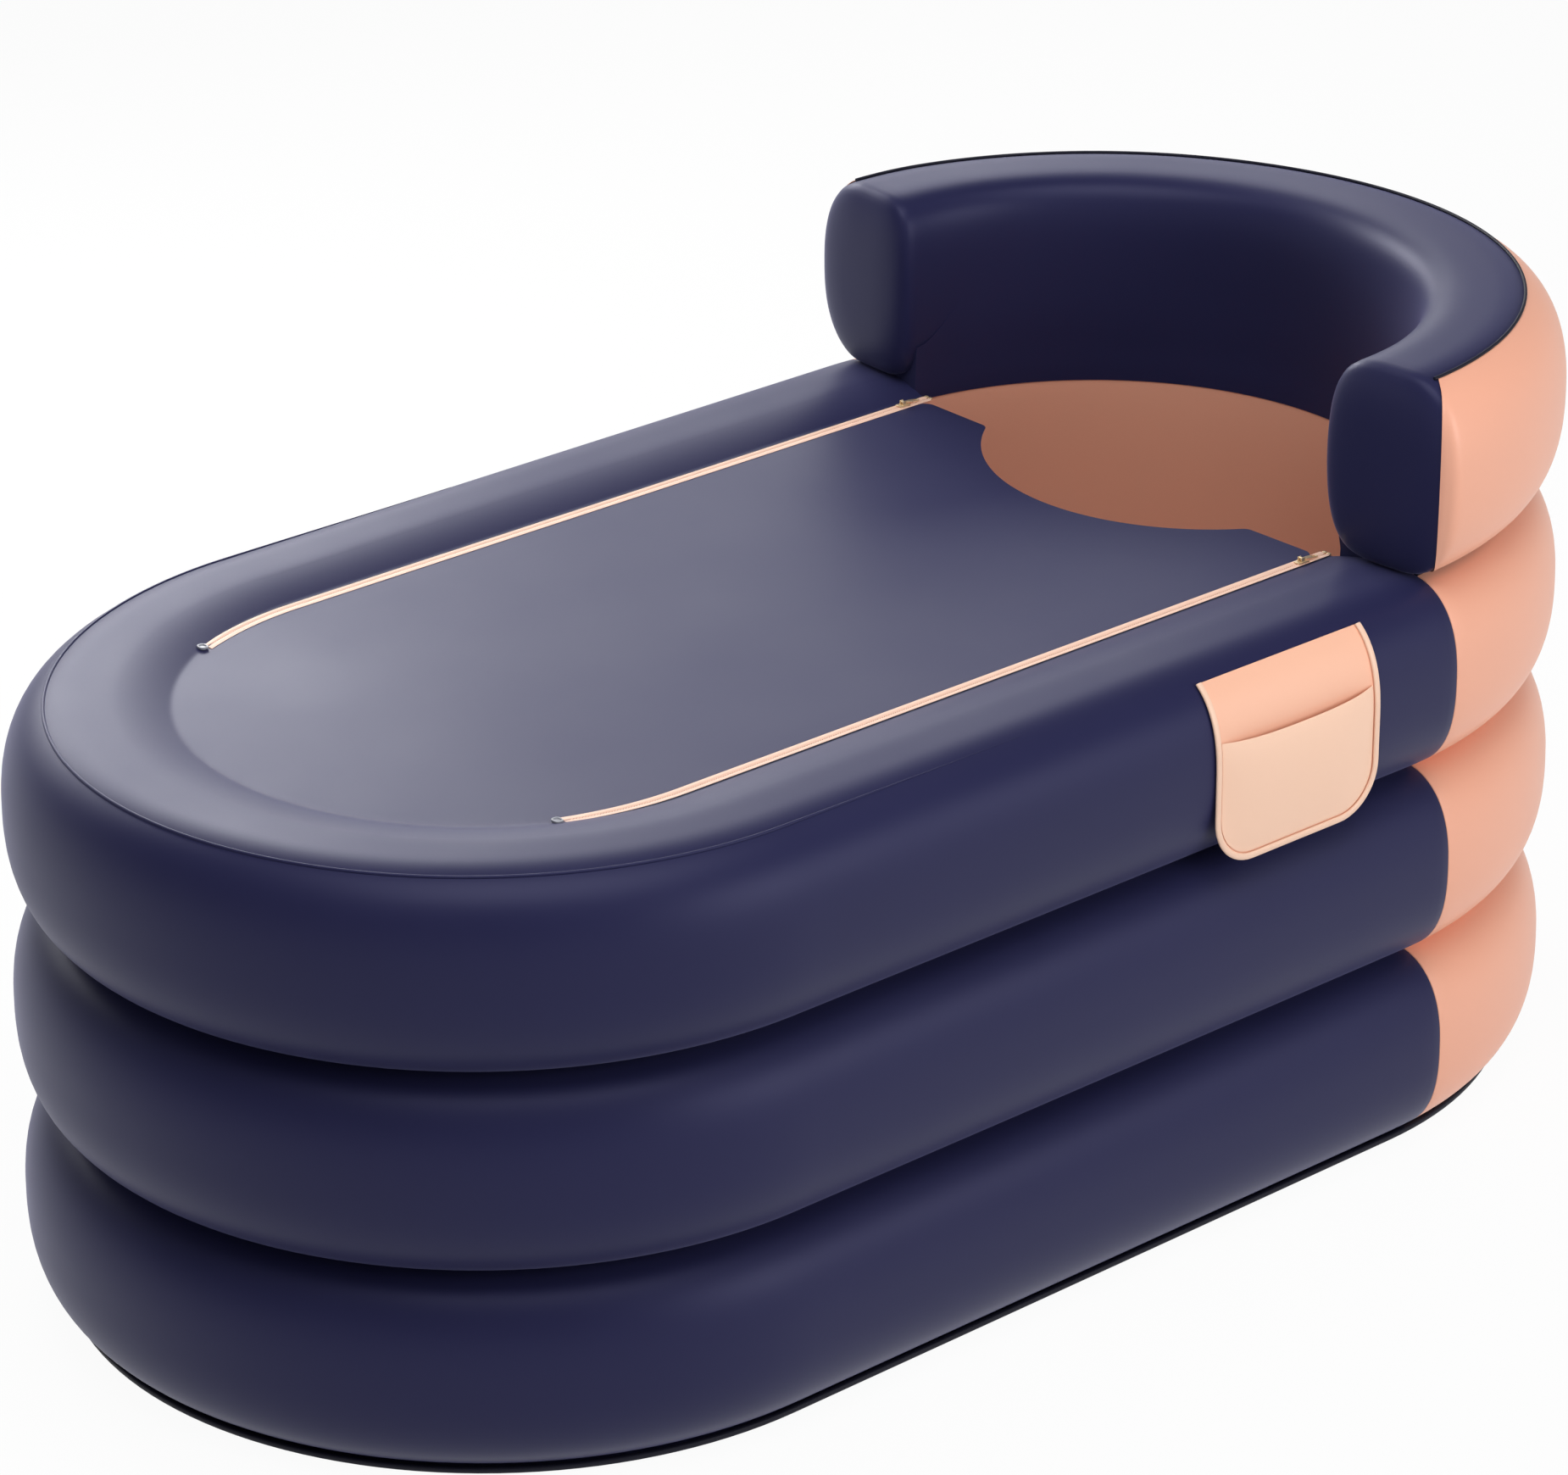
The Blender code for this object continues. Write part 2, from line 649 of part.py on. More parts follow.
def build_zip(name, side, cover_handle):
    """Both tapes of one zip, its stops, slider and pull tab."""
    low = TAPE_TOP - TAPE_THICKNESS
    slot, reach = ZIP_SLOT / 2, ZIP_SLOT / 2 + TAPE_WIDTH
    tub_tape = handed(tape(slot, reach), side)
    cover_tape = handed(tape(-reach, -slot), side)
    add(f"{name}_zip_tub_tape", prism(tub_tape, low, TAPE_TOP), PALE_PEACH)
    under(cover_handle, add(f"{name}_zip_cover_tape", prism(cover_tape, low, TAPE_TOP), PALE_PEACH))

    head = ZIP_HEAD_X + SEAT_GAP
    high = TAPE_TOP + STOP_RISE
    for part, first, last in (("tub", slot, reach), ("cover", -reach, -slot)):
        across = sorted((side * (ZIP_Y + first), side * (ZIP_Y + last)))
        stop = block((head, across[0], low), (head + STOP_LENGTH, across[1], high))
        obj = add(f"{name}_zip_{part}_head_stop", stop, BRASS)
        if part == "cover":
            under(cover_handle, obj)

    across = sorted((side * (ZIP_FOOT_Y - reach), side * (ZIP_FOOT_Y + TAPE_WIDTH / 2)))
    foot = FOLD_X - FOLD_GAP / 2
    base = COVER_Z + SEAT_GAP
    stop = block((foot - FOOT_STOP_LENGTH, across[0], base),
                 (foot, across[1], base + FOOT_STOP_HEIGHT))
    add(f"{name}_zip_foot_stop", stop, GREY)
    build_slider(name, side, cover_handle)


def build_slider(name, side, cover_handle):
    """A slider held by its web and lower plate to the cover's tape, with a hinged pull tab."""
    origin = Vector((ZIP_HEAD_X - SLIDER_SETBACK, side * ZIP_Y, TAPE_TOP))
    place = Matrix.Translation(origin)
    half = SLIDER_LENGTH / 2
    inward = -side
    base = SEAT_GAP
    top = base + SLIDER_PLATE
    under_top = -TAPE_THICKNESS - SEAT_GAP
    overlap = SLIDER_PLATE / 4

    slider = add(f"{name}_slider", block((-half, -SLIDER_WIDTH / 2, base),
                                         (half, SLIDER_WIDTH / 2, top)), BRASS, place)
    web = block((-half / 2, -SLIDER_WEB / 2, under_top - overlap),
                (half / 2, SLIDER_WEB / 2, base + overlap))
    plate_y = sorted((-inward * SLIDER_WEB / 2, inward * TAPE_WIDTH))
    lower = block((-half, plate_y[0], under_top - SLIDER_PLATE), (half, plate_y[1], under_top))
    pieces = [("web", web), ("lower_plate", lower)]
    ear_in = TAB_NECK_WIDTH / 2 + SEAT_GAP
    for ear in (-1, 1):
        ys = sorted((ear * ear_in, ear * (ear_in + EAR_THICKNESS)))
        body = block((-EAR_LENGTH / 2, ys[0], top - overlap),
                     (EAR_LENGTH / 2, ys[1], top + EAR_HEIGHT))
        pieces.append((f"ear_{'left' if ear < 0 else 'right'}", body))
    pin_place = place @ facing(Vector((0.0, 0.0, top + PIN_RISE)), Vector((0.0, 1.0, 0.0)),
                               Vector((0.0, 0.0, 1.0)))
    for part, bm in pieces:
        boolean(slider, add(f"{name}_{part}_helper", bm, BRASS, place), "UNION")
    pin_half = ear_in + EAR_THICKNESS / 2
    pin = turned([(0.0, -pin_half), (PIN_RADIUS, -pin_half), (PIN_RADIUS, pin_half),
                  (0.0, pin_half)], BEAD_SIDES * 2)
    boolean(slider, add(f"{name}_pin_helper", pin, BRASS, pin_place), "UNION")
    under(cover_handle, slider)

    hole = (PIN_RADIUS + SEAT_GAP) / math.cos(math.pi / (BEAD_SIDES * 2))
    width = TAB_NECK_WIDTH / 2
    knuckle = turned([(hole, -width), (KNUCKLE_RADIUS, -width), (KNUCKLE_RADIUS, width),
                      (hole, width)], BEAD_SIDES * 2)
    drop = top + PIN_RISE - SEAT_GAP - TAB_THICKNESS / 2
    droop = math.asin(drop / TAB_LENGTH)
    tab = add(f"{name}_pull_tab", knuckle, BRASS, pin_place)
    wide_from = EAR_LENGTH / 2 + SEAT_GAP * 2
    start = (hole + KNUCKLE_RADIUS) / 2
    outline = [(start, -width), (wide_from, -width), (wide_from + width, -TAB_WIDTH / 2),
               (TAB_LENGTH - width, -TAB_WIDTH / 2), (TAB_LENGTH, -width), (TAB_LENGTH, width),
               (TAB_LENGTH - width, TAB_WIDTH / 2), (wide_from + width, TAB_WIDTH / 2),
               (wide_from, width), (start, width)]
    handle = prism(outline, -TAB_THICKNESS / 2, TAB_THICKNESS / 2)
    pin_point = pin_place.to_translation()
    leaf_place = Matrix.Translation(pin_point) @ Matrix.Rotation(droop, 4, "Y")
    boolean(tab, add(f"{name}_tab_helper", handle, BRASS, leaf_place), "UNION")
    under(slider, tab)


# Pocket
def pocket_profile():
    """The upper chamber's outer face from the pocket's top edge down, as (radius, z)."""
    section = chamber_section(len(CHAMBERS) - 1)
    crown = section.points[OUTER_FACETS - 1]
    outer = [section.points[index] for index in range(OUTER_FACETS - 2, OUTER_FACETS // 2, -1)]
    first = outer[0]
    length = math.hypot(crown[0] - first[0], crown[1] - first[1])
    share = POCKET_TOP_LAP / length
    top = (first[0] + (crown[0] - first[0]) * share, first[1] + (crown[1] - first[1]) * share)
    line = [(TUBE_RADIUS + u, section.mid_z + v) for u, v in [top, *outer]]
    return line, section.mid_z


def offset_line(line, distance):
    """Moves a (radius, z) line outwards by a distance."""
    moved = []
    for index, (radius, z) in enumerate(line):
        before = line[max(index - 1, 0)]
        after = line[min(index + 1, len(line) - 1)]
        run, rise = after[0] - before[0], after[1] - before[1]
        size = math.hypot(run, rise)
        moved.append((radius - rise / size * distance, z + run / size * distance))
    return moved


def pocket_bottom(x):
    """Height of the pocket's lower edge at x, with rounded corners."""
    foot = pocket_profile()[1] - POCKET_HANG
    from_edge = POCKET_WIDTH / 2 - abs(x - POCKET_X)
    if from_edge >= POCKET_CORNER:
        return foot
    run = POCKET_CORNER - from_edge
    return foot + POCKET_CORNER - math.sqrt(max(POCKET_CORNER ** 2 - run ** 2, 0.0))


def pocket_columns():
    """Places across the pocket, closer together at its rounded corners."""
    steps = [math.pi * step / POCKET_COLUMNS for step in range(POCKET_COLUMNS + 1)]
    return [POCKET_X - POCKET_WIDTH / 2 * math.cos(angle) for angle in steps]


def build_pocket():
    """A back panel welded to the chamber, a pouch in front of it and a bound edge."""
    line, middle = pocket_profile()
    back = offset_line(line, SEAT_GAP)
    hang_radius = back[-1][0]
    rows = []
    for x in pocket_columns():
        column = [Vector((x, -radius, z)) for radius, z in back]
        column.append(Vector((x, -hang_radius, pocket_bottom(x))))
        rows.append(column)
    panel = add("pocket_back_panel", grid(rows), PEACH)
    orient_sheet(panel, Vector((0.0, -1.0, 0.0)))
    thicken(panel, POCKET_SKIN, 1)

    front_radius = hang_radius + POCKET_SKIN + SEAT_GAP
    mouth = middle + POUCH_MOUTH_RISE
    rows = []
    for x in pocket_columns():
        across = 1 - abs((x - POCKET_X) / (POCKET_WIDTH / 2)) ** POUCH_SIDE_POWER
        column = []
        for step in range(POUCH_ROWS + 1):
            share = step / POUCH_ROWS
            z = pocket_bottom(x) + (mouth - pocket_bottom(x)) * share
            puff = POUCH_DEPTH * across * math.sin(share * QUARTER)
            column.append(Vector((x, -front_radius - puff, z)))
        rows.append(column)
    pouch = add("pocket_pouch", grid(rows), PEACH)
    orient_sheet(pouch, Vector((0.0, -1.0, 0.0)))
    thicken(pouch, POCKET_SKIN, 1)
    build_binding(back, hang_radius)


def orient_sheet(obj, outward):
    """Turns an open sheet's faces so that they look outward."""
    total = sum((face.normal * face.area for face in obj.data.polygons), Vector())
    if total.dot(outward) < 0:
        obj.data.flip_normals()


def build_binding(back, hang_radius):
    """Round piping down one side of the pocket, under it and up the other side."""
    away = BINDING_RADIUS + SEAT_GAP
    raised = offset_line(back, BINDING_RADIUS)
    side_x = POCKET_WIDTH / 2 + away
    left = [Vector((POCKET_X - side_x, -radius, z)) for radius, z in raised]
    foot = pocket_profile()[1] - POCKET_HANG
    radius = raised[-1][0]
    corner = POCKET_CORNER + away
    turn = []
    for step in range(CORNER_STEPS * 2 + 1):
        angle = QUARTER * step / (CORNER_STEPS * 2)
        x = POCKET_X - side_x + corner * (1 - math.cos(angle))
        turn.append(Vector((x, -radius, foot + POCKET_CORNER - corner * math.sin(angle))))
    half = left + turn
    path = half + [Vector((2 * POCKET_X - p.x, p.y, p.z)) for p in reversed(half)]
    rings = []
    for index, point in enumerate(path):
        along = (path[min(index + 1, len(path) - 1)] - path[max(index - 1, 0)]).normalized()
        out = Vector((0.0, -1.0, 0.0))
        side = along.cross(out).normalized()
        out = side.cross(along).normalized()
        ring = []
        for corner_index in range(BEAD_SIDES):
            angle = 2 * math.pi * corner_index / BEAD_SIDES
            ring.append(point + (side * math.cos(angle) + out * math.sin(angle)) * BINDING_RADIUS)
        rings.append(ring)
    bm = loft(rings, capped=True)
    if bm.calc_volume(signed=True) < 0:
        bmesh.ops.reverse_faces(bm, faces=bm.faces)
    add("pocket_binding", bm, PALE_PEACH)


# Valves and drain
def peg(name, radius, low, high, place):
    """A round helper, which cuts or adds material."""
    return add(name, turned([(0.0, low), (radius, low), (radius, high), (0.0, high)]), GREY, place)


def build_valve(name, place, walls):
    """An air valve set in a wall: flanged neck, check flap inside and strapped cap outside."""
    neck = VALVE_BORE + VALVE_NECK_WALL
    flange_top = SEAT_GAP + VALVE_FLANGE_THICKNESS
    rim_top = flange_top + VALVE_RIM_HEIGHT
    for wall in walls:
        hole = peg(f"{name}_{wall.name}_hole", neck + SEAT_GAP * 2, -VALVE_NECK_DEPTH,
                   OVERRUN, place)
        boolean(wall, hole, "DIFFERENCE")
    flanged = add(f"{name}_valve_neck", turned([
        (VALVE_BORE, -VALVE_NECK_DEPTH), (neck, -VALVE_NECK_DEPTH), (neck, SEAT_GAP),
        (VALVE_FLANGE_RADIUS, SEAT_GAP), (VALVE_FLANGE_RADIUS, flange_top), (neck, flange_top),
        (neck, rim_top), (VALVE_BORE, rim_top)]), VALVE_WHITE, place)

    half_strap = STRAP_THICKNESS / 2
    hinge = Vector((0.0, VALVE_HINGE_RADIUS, rim_top + SEAT_GAP + CAP_TOP - half_strap))
    post_y = STRAP_POST_THICKNESS / 2
    post = prism_x([(VALVE_HINGE_RADIUS - post_y, flange_top - VALVE_FLANGE_THICKNESS / 2),
                    (VALVE_HINGE_RADIUS + post_y, flange_top - VALVE_FLANGE_THICKNESS / 2),
                    (VALVE_HINGE_RADIUS + post_y, hinge.z - half_strap - SEAT_GAP),
                    (VALVE_HINGE_RADIUS - post_y, hinge.z - half_strap - SEAT_GAP)], STRAP_WIDTH)
    boolean(flanged, add(f"{name}_post_helper", post, VALVE_WHITE, place), "UNION")

    cap_place = place @ Matrix.Translation(hinge)
    low = half_strap - CAP_TOP
    plug = VALVE_BORE - CAP_PLUG_CLEARANCE
    disc = turned([(0.0, low - CAP_PLUG_DEPTH), (plug, low - CAP_PLUG_DEPTH), (plug, low),
                   (neck + CAP_LIP, low), (neck + CAP_LIP, half_strap), (0.0, half_strap)])
    bmesh.ops.translate(disc, verts=disc.verts, vec=(0.0, -VALVE_HINGE_RADIUS, 0.0))
    cap = add(f"{name}_valve_cap", disc, VALVE_WHITE, cap_place)
    strap_from = neck - VALVE_HINGE_RADIUS
    strap = prism_x([(strap_from, -half_strap), (half_strap, -half_strap),
                     (half_strap, half_strap), (strap_from, half_strap)], STRAP_WIDTH)
    boolean(cap, add(f"{name}_strap_helper", strap, VALVE_WHITE, cap_place), "UNION")

    flap_top = -VALVE_NECK_DEPTH - SEAT_GAP
    flap_place = place @ Matrix.Translation(Vector((0.0, neck, flap_top)))
    flap = turned([(0.0, -FLAP_THICKNESS), (neck, -FLAP_THICKNESS), (neck, 0.0), (0.0, 0.0)])
    bmesh.ops.translate(flap, verts=flap.verts, vec=(0.0, -neck, 0.0))
    add(f"{name}_valve_flap", flap, SILICONE, flap_place)


def prism_x(outline, width):
    """A straight solid along local X over an outline of (y, z) points."""
    bm = prism(outline, -width / 2, width / 2)
    for vert in bm.verts:
        vert.co = Vector((vert.co.z, vert.co.x, vert.co.y))
    if bm.calc_volume(signed=True) < 0:
        bmesh.ops.reverse_faces(bm, faces=bm.faces)
    return bm


def head_facet(seam_angle, z):
    """Middle of the rearmost facet of the outer face, at a height."""
    middle = HEAD_STEPS // 2
    places = rear_stations(seam_angle)[middle:middle + 2]
    return (spot(places[0], OUTER_RADIUS, z) + spot(places[1], OUTER_RADIUS, z)) / 2


def build_valves(chambers, cushion, backrest, panel):
    """One valve over the other at the head end, and one in the floor cushion."""
    up = Vector((0.0, 0.0, 1.0))
    out = Vector((1.0, 0.0, 0.0))
    for level, name in enumerate(CHAMBERS):
        seat = head_facet(SEAM_GAP_ANGLE, chamber_section(level).mid_z)
        build_valve(name, facing(seat, out, up), [chambers[f"{name}_rear"]])
    seat = head_facet(SEAM_ANGLE, backrest_section().mid_z) + out * (SEAT_GAP + SKIN)
    build_valve("backrest", facing(seat, out, up), [backrest, panel])
    top = BASE_SKIN + SEAT_GAP + CUSHION_HEIGHT
    spot_x = -STRAIGHT + FLOOR_VALVE_SETBACK
    build_valve("floor", facing(Vector((spot_x, 0.0, top)), up, Vector((-1.0, 0.0, 0.0))),
                [cushion])


def build_drain(chamber, wall):
    """A duct in a sleeve through the lower chamber, a screw cap outside and a stopper inside."""
    middle = chamber_section(0).mid_z
    place = facing(Vector((DRAIN_X, OUTER_RADIUS, middle)), Vector((0.0, 1.0, 0.0)),
                   Vector((0.0, 0.0, 1.0)))
    duct = DRAIN_BORE + DRAIN_WALL
    inner_end = -CHAMBER_THICKNESS - SEAT_GAP * 2 - SKIN
    flange_top = SEAT_GAP + DRAIN_FLANGE_THICKNESS
    spigot_top = flange_top + DRAIN_SPIGOT
    tunnel = duct + SEAT_GAP * 2
    sleeve = peg("drain_sleeve_helper", tunnel + SKIN, SKIN / 2 - CHAMBER_THICKNESS, -SKIN / 2, place)
    boolean(chamber, sleeve, "UNION")
    for target in (chamber, wall):
        hole = peg(f"drain_{target.name}_hole", tunnel, inner_end - OVERRUN, OVERRUN, place)
        boolean(target, hole, "DIFFERENCE")
    collar_end = inner_end - DRAIN_FLANGE_THICKNESS
    socket_end = collar_end - DRAIN_SOCKET
    add("drain_duct", turned([
        (DRAIN_BORE, socket_end), (duct, socket_end), (duct, SEAT_GAP),
        (DRAIN_FLANGE_RADIUS, SEAT_GAP), (DRAIN_FLANGE_RADIUS, flange_top), (duct, flange_top),
        (duct, spigot_top), (DRAIN_BORE, spigot_top)]), VALVE_WHITE, place)
    ring = duct + SEAT_GAP
    add("drain_inner_collar", turned([
        (ring, collar_end), (DRAIN_FLANGE_RADIUS, collar_end),
        (DRAIN_FLANGE_RADIUS, inner_end), (ring, inner_end)]), VALVE_WHITE, place)

    washer_low = spigot_top + SEAT_GAP
    washer_high = washer_low + WASHER_THICKNESS
    add("drain_cap_washer", turned([
        (0.0, washer_low), (duct, washer_low), (duct, washer_high), (0.0, washer_high)]),
        SILICONE, place)
    inside = (duct + SEAT_GAP) / math.cos(math.pi / ROUND_SIDES)
    outside = inside + DRAIN_CAP_WALL
    skirt = spigot_top - DRAIN_CAP_SKIRT
    roof = washer_high + SEAT_GAP
    add("drain_cap", turned([
        (0.0, roof), (inside, roof), (inside, skirt), (outside, skirt),
        (outside, roof + DRAIN_CAP_WALL), (0.0, roof + DRAIN_CAP_WALL)]), VALVE_WHITE, place)

    head_low = socket_end - SEAT_GAP - PLUG_HEAD_THICKNESS
    head_high = socket_end - SEAT_GAP
    body = DRAIN_BORE - PLUG_CLEARANCE
    plug = add("drain_plug", turned([
        (0.0, head_low), (PLUG_HEAD_RADIUS, head_low), (PLUG_HEAD_RADIUS, head_high),
        (body, head_high), (body, head_high + PLUG_LENGTH), (0.0, head_high + PLUG_LENGTH)]),
        SILICONE, place)
    grip = block((-PLUG_GRIP_WIDTH / 2, -PLUG_GRIP_THICKNESS / 2, head_low - PLUG_GRIP_HEIGHT),
                 (PLUG_GRIP_WIDTH / 2, PLUG_GRIP_THICKNESS / 2,
                  head_low + PLUG_HEAD_THICKNESS / 2))
    boolean(plug, add("drain_grip_helper", grip, SILICONE, place), "UNION")


def build_tub():
    chambers = build_chambers()
    build_base()
    wall = build_inner_wall()
    cushion = build_floor_cushion()
    backrest, panel = build_backrest()
    build_top_bead()
    build_cover_border()
    fold = Vector((FOLD_X, 0.0, COVER_Z + FOLD_AXIS_RISE))
    cover_handle = empty("cover_fold_line", fold)
    under(cover_handle, build_cover())
    for name, side in (("left", -1), ("right", 1)):
        build_zip(name, side, cover_handle)
    build_pocket()
    build_valves(chambers, cushion, backrest, panel)
    build_drain(chambers["lower_front"], wall)


build_tub()
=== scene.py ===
# %% [markdown]
# # An inflatable bathtub, dressed over its frame
#
# The frame holds the tub's sizes, bodies and joints as plain solids with flat facets. This lesson
# makes the smooth, soft and shiny things that the eye sees: the inflated rings, the backrest, the
# cover with its zips, the pocket, the air valves and the drain. Every piece stands where its plain
# solid stands, and every piece but the cover film rides on the same body.

import json
import math

import bmesh
import bpy
from mathutils import Matrix, Vector

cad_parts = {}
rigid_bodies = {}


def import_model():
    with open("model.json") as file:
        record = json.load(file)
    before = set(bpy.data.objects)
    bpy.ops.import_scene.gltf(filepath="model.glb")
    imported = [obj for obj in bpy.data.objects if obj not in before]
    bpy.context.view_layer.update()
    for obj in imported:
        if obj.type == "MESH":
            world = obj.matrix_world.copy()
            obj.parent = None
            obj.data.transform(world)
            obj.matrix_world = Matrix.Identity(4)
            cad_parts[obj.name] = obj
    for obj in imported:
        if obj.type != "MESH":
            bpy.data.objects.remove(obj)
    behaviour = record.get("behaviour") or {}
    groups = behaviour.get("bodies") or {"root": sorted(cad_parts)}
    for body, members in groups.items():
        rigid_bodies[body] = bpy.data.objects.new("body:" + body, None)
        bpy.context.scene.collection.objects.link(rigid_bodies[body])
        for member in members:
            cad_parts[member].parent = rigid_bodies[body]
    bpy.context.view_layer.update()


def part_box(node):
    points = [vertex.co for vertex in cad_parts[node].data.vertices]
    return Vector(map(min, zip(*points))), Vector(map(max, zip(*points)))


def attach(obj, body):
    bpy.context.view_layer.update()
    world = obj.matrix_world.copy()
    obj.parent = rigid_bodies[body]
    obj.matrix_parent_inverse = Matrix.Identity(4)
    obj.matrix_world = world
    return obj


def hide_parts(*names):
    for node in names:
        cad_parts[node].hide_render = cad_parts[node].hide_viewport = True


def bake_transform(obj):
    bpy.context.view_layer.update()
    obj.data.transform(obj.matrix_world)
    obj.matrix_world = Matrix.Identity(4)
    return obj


for starter in list(bpy.data.objects):
    bpy.data.objects.remove(starter, do_unlink=True)

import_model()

# %% [markdown]
# ## The oval and the tube
#
# Everything on this tub follows one oval: two half circles joined by straight sides. A place on it
# is given by the centre of the nearer half circle and an angle that runs clockwise from -Y. The
# rings share one outline: a soft bulge outside and a flatter wall inside, where the next sheet
# holds them. A superellipse gives both, with a power for how square each side is.

# %% Sizes of the oval and of the rings
ring_low, ring_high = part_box("upper_chamber_front")
HALF_THICKNESS = 0.065
OUTER_RADIUS = ring_high.y
TUBE_RADIUS = OUTER_RADIUS - HALF_THICKNESS
WALL_RADIUS = OUTER_RADIUS - 2 * HALF_THICKNESS
STRAIGHT = -ring_low.x - OUTER_RADIUS
SEAM_SETBACK, SEAM_GAP = 0.025, 0.0003
SEAM_ANGLE = math.asin(SEAM_SETBACK / TUBE_RADIUS)
REAR_SEAM_ANGLE = math.asin((SEAM_SETBACK + SEAM_GAP) / TUBE_RADIUS)
HALF_TURN = math.pi
OUTER_POWER, WALL_POWER = 2.46, 5.0
OUTLINE_POINTS = 96
RINGS = ("lower", "middle", "upper")
SIDES = (("left", -1), ("right", 1))
UP, BACK, OUT = Vector((0.0, 0.0, 1.0)), Vector((1.0, 0.0, 0.0)), Vector((0.0, -1.0, 0.0))
print("half circles at x = +-", round(STRAIGHT, 4), "outer radius", round(OUTER_RADIUS, 4))


# %% Helpers for places and outlines
def spot(anchor, angle, radius, z):
    """A point beside the oval."""
    return Vector((anchor - math.sin(angle) * radius, -math.cos(angle) * radius, z))


def superellipse(angle, half_wide, half_tall, power):
    """A point of a rounded outline: power 2 is an ellipse and a high power is nearly a box."""
    across, up = math.cos(angle), math.sin(angle)
    return Vector((math.copysign(abs(across) ** (2 / power), across) * half_wide,
                   math.copysign(abs(up) ** (2 / power), up) * half_tall))


def oval_points(half_wide, half_tall, power, count):
    """Points all the way round a rounded outline."""
    return [superellipse(math.tau * step / count, half_wide, half_tall, power)
            for step in range(count)]


def evenly(points, count, closed=True):
    """The same line with its points an equal distance apart."""
    line = points + points[:1] if closed else points
    reach = [0.0]
    for before, after in zip(line, line[1:]):
        reach.append(reach[-1] + (after - before).length)
    spaced, index = [], 0
    for step in range(count):
        goal = reach[-1] * step / (count if closed else count - 1)
        while index < len(line) - 2 and reach[index + 1] < goal:
            index += 1
        share = (goal - reach[index]) / (reach[index + 1] - reach[index])
        spaced.append(line[index].lerp(line[index + 1], min(share, 1.0)))
    return spaced


def tube_outline(half_tall, mid_z):
    """The outline of an inflated tube, as (outward, height)."""
    dense = []
    for step in range(1440):
        angle = math.tau * step / 1440
        power = OUTER_POWER if math.cos(angle) >= 0 else WALL_POWER
        dense.append(superellipse(angle, HALF_THICKNESS, half_tall, power) + Vector((0.0, mid_z)))
    return evenly(dense, OUTLINE_POINTS)


def smooth_step(value, low, high):
    """0 below low, 1 above high and a soft slope between them."""
    share = min(max((value - low) / (high - low), 0.0), 1.0)
    return share * share * (3 - 2 * share)


# %% [markdown]
# ## Sweeping an outline round the oval
#
# A real ring is two flat sheets welded along their edges and blown up, so its outline is the same
# all the way round. Spin and extrude do just that: a circle is moved onto the outline, spun round
# the half circles and extruded along the straights. A round primitive such as a torus would give
# neither the straight sides nor the flat inner wall.

# %% Helpers for sweeping
def deselect_all():
    if bpy.context.mode != "OBJECT":
        bpy.ops.object.mode_set(mode="OBJECT")
    bpy.ops.object.select_all(action="DESELECT")


def select_only(piece):
    deselect_all()
    piece.select_set(True)
    bpy.context.view_layer.objects.active = piece


def rename(piece, name):
    piece.name = name
    piece.data.name = name
    return piece


def start_outline(name, points, closed=True):
    """A circle whose points are moved onto a line, left in edit mode with all of it selected."""
    deselect_all()
    bpy.ops.mesh.primitive_circle_add(vertices=len(points), radius=HALF_THICKNESS)
    piece = rename(bpy.context.object, name)
    for vert, point in zip(piece.data.vertices, points):
        vert.co = point
    bpy.ops.object.mode_set(mode="EDIT")
    if not closed:
        last = len(points) - 1
        select_parts(piece, "EDGE", lambda edge: {v.index for v in edge.verts} == {0, last})
        bpy.ops.mesh.delete(type="EDGE")
    bpy.ops.mesh.select_all(action="SELECT")
    return piece


def select_parts(piece, kind, wanted):
    """In edit mode, selects the verts, edges or faces that a test accepts."""
    bpy.ops.mesh.select_mode(type=kind)
    bpy.ops.mesh.select_all(action="DESELECT")
    bm = bmesh.from_edit_mesh(piece.data)
    found = {"VERT": bm.verts, "EDGE": bm.edges, "FACE": bm.faces}[kind]
    count = 0
    for part in found:
        if wanted(part):
            part.select_set(True)
            count += 1
    bm.select_flush_mode()
    bmesh.update_edit_mesh(piece.data)
    return count


def turn(anchor, angle, steps):
    """Spins what is selected clockwise round a half circle's centre."""
    bpy.ops.mesh.spin(steps=steps, angle=angle, center=(anchor, 0.0, 0.0), axis=(0.0, 0.0, 1.0))


def extrude(offset):
    bpy.ops.mesh.extrude_region_move(TRANSFORM_OT_translate={"value": offset})


def run(length, steps):
    """Extrudes what is selected along X."""
    for _ in range(steps):
        extrude((length / steps, 0.0, 0.0))


def sweep_front():
    """From the seam on the -Y side, round the foot end, to the seam on the +Y side."""
    turn(STRAIGHT, SEAM_ANGLE, 3)
    run(-2 * STRAIGHT, 20)
    turn(-STRAIGHT, HALF_TURN, 72)
    run(2 * STRAIGHT, 20)
    turn(STRAIGHT, SEAM_ANGLE, 3)


def close_up(piece, end_bevel=0.0):
    """Fills the open ends, softens their rims and turns every face outwards."""
    bpy.ops.mesh.select_all(action="SELECT")
    bpy.ops.mesh.remove_doubles(threshold=0.00001)
    bpy.ops.mesh.fill_holes(sides=0)
    bpy.ops.mesh.normals_make_consistent(inside=False)
    if end_bevel:
        bpy.ops.mesh.select_mode(type="FACE")
        bpy.ops.mesh.select_all(action="DESELECT")
        bpy.ops.mesh.select_face_by_sides(number=4, type="GREATER")
        bpy.ops.mesh.bevel(offset=end_bevel, segments=3, affect="EDGES")
    return smooth(piece)


def smooth(piece, sharp_degrees=50):
    select_only(piece)
    bpy.ops.object.shade_smooth_by_angle(angle=math.radians(sharp_degrees))
    return piece


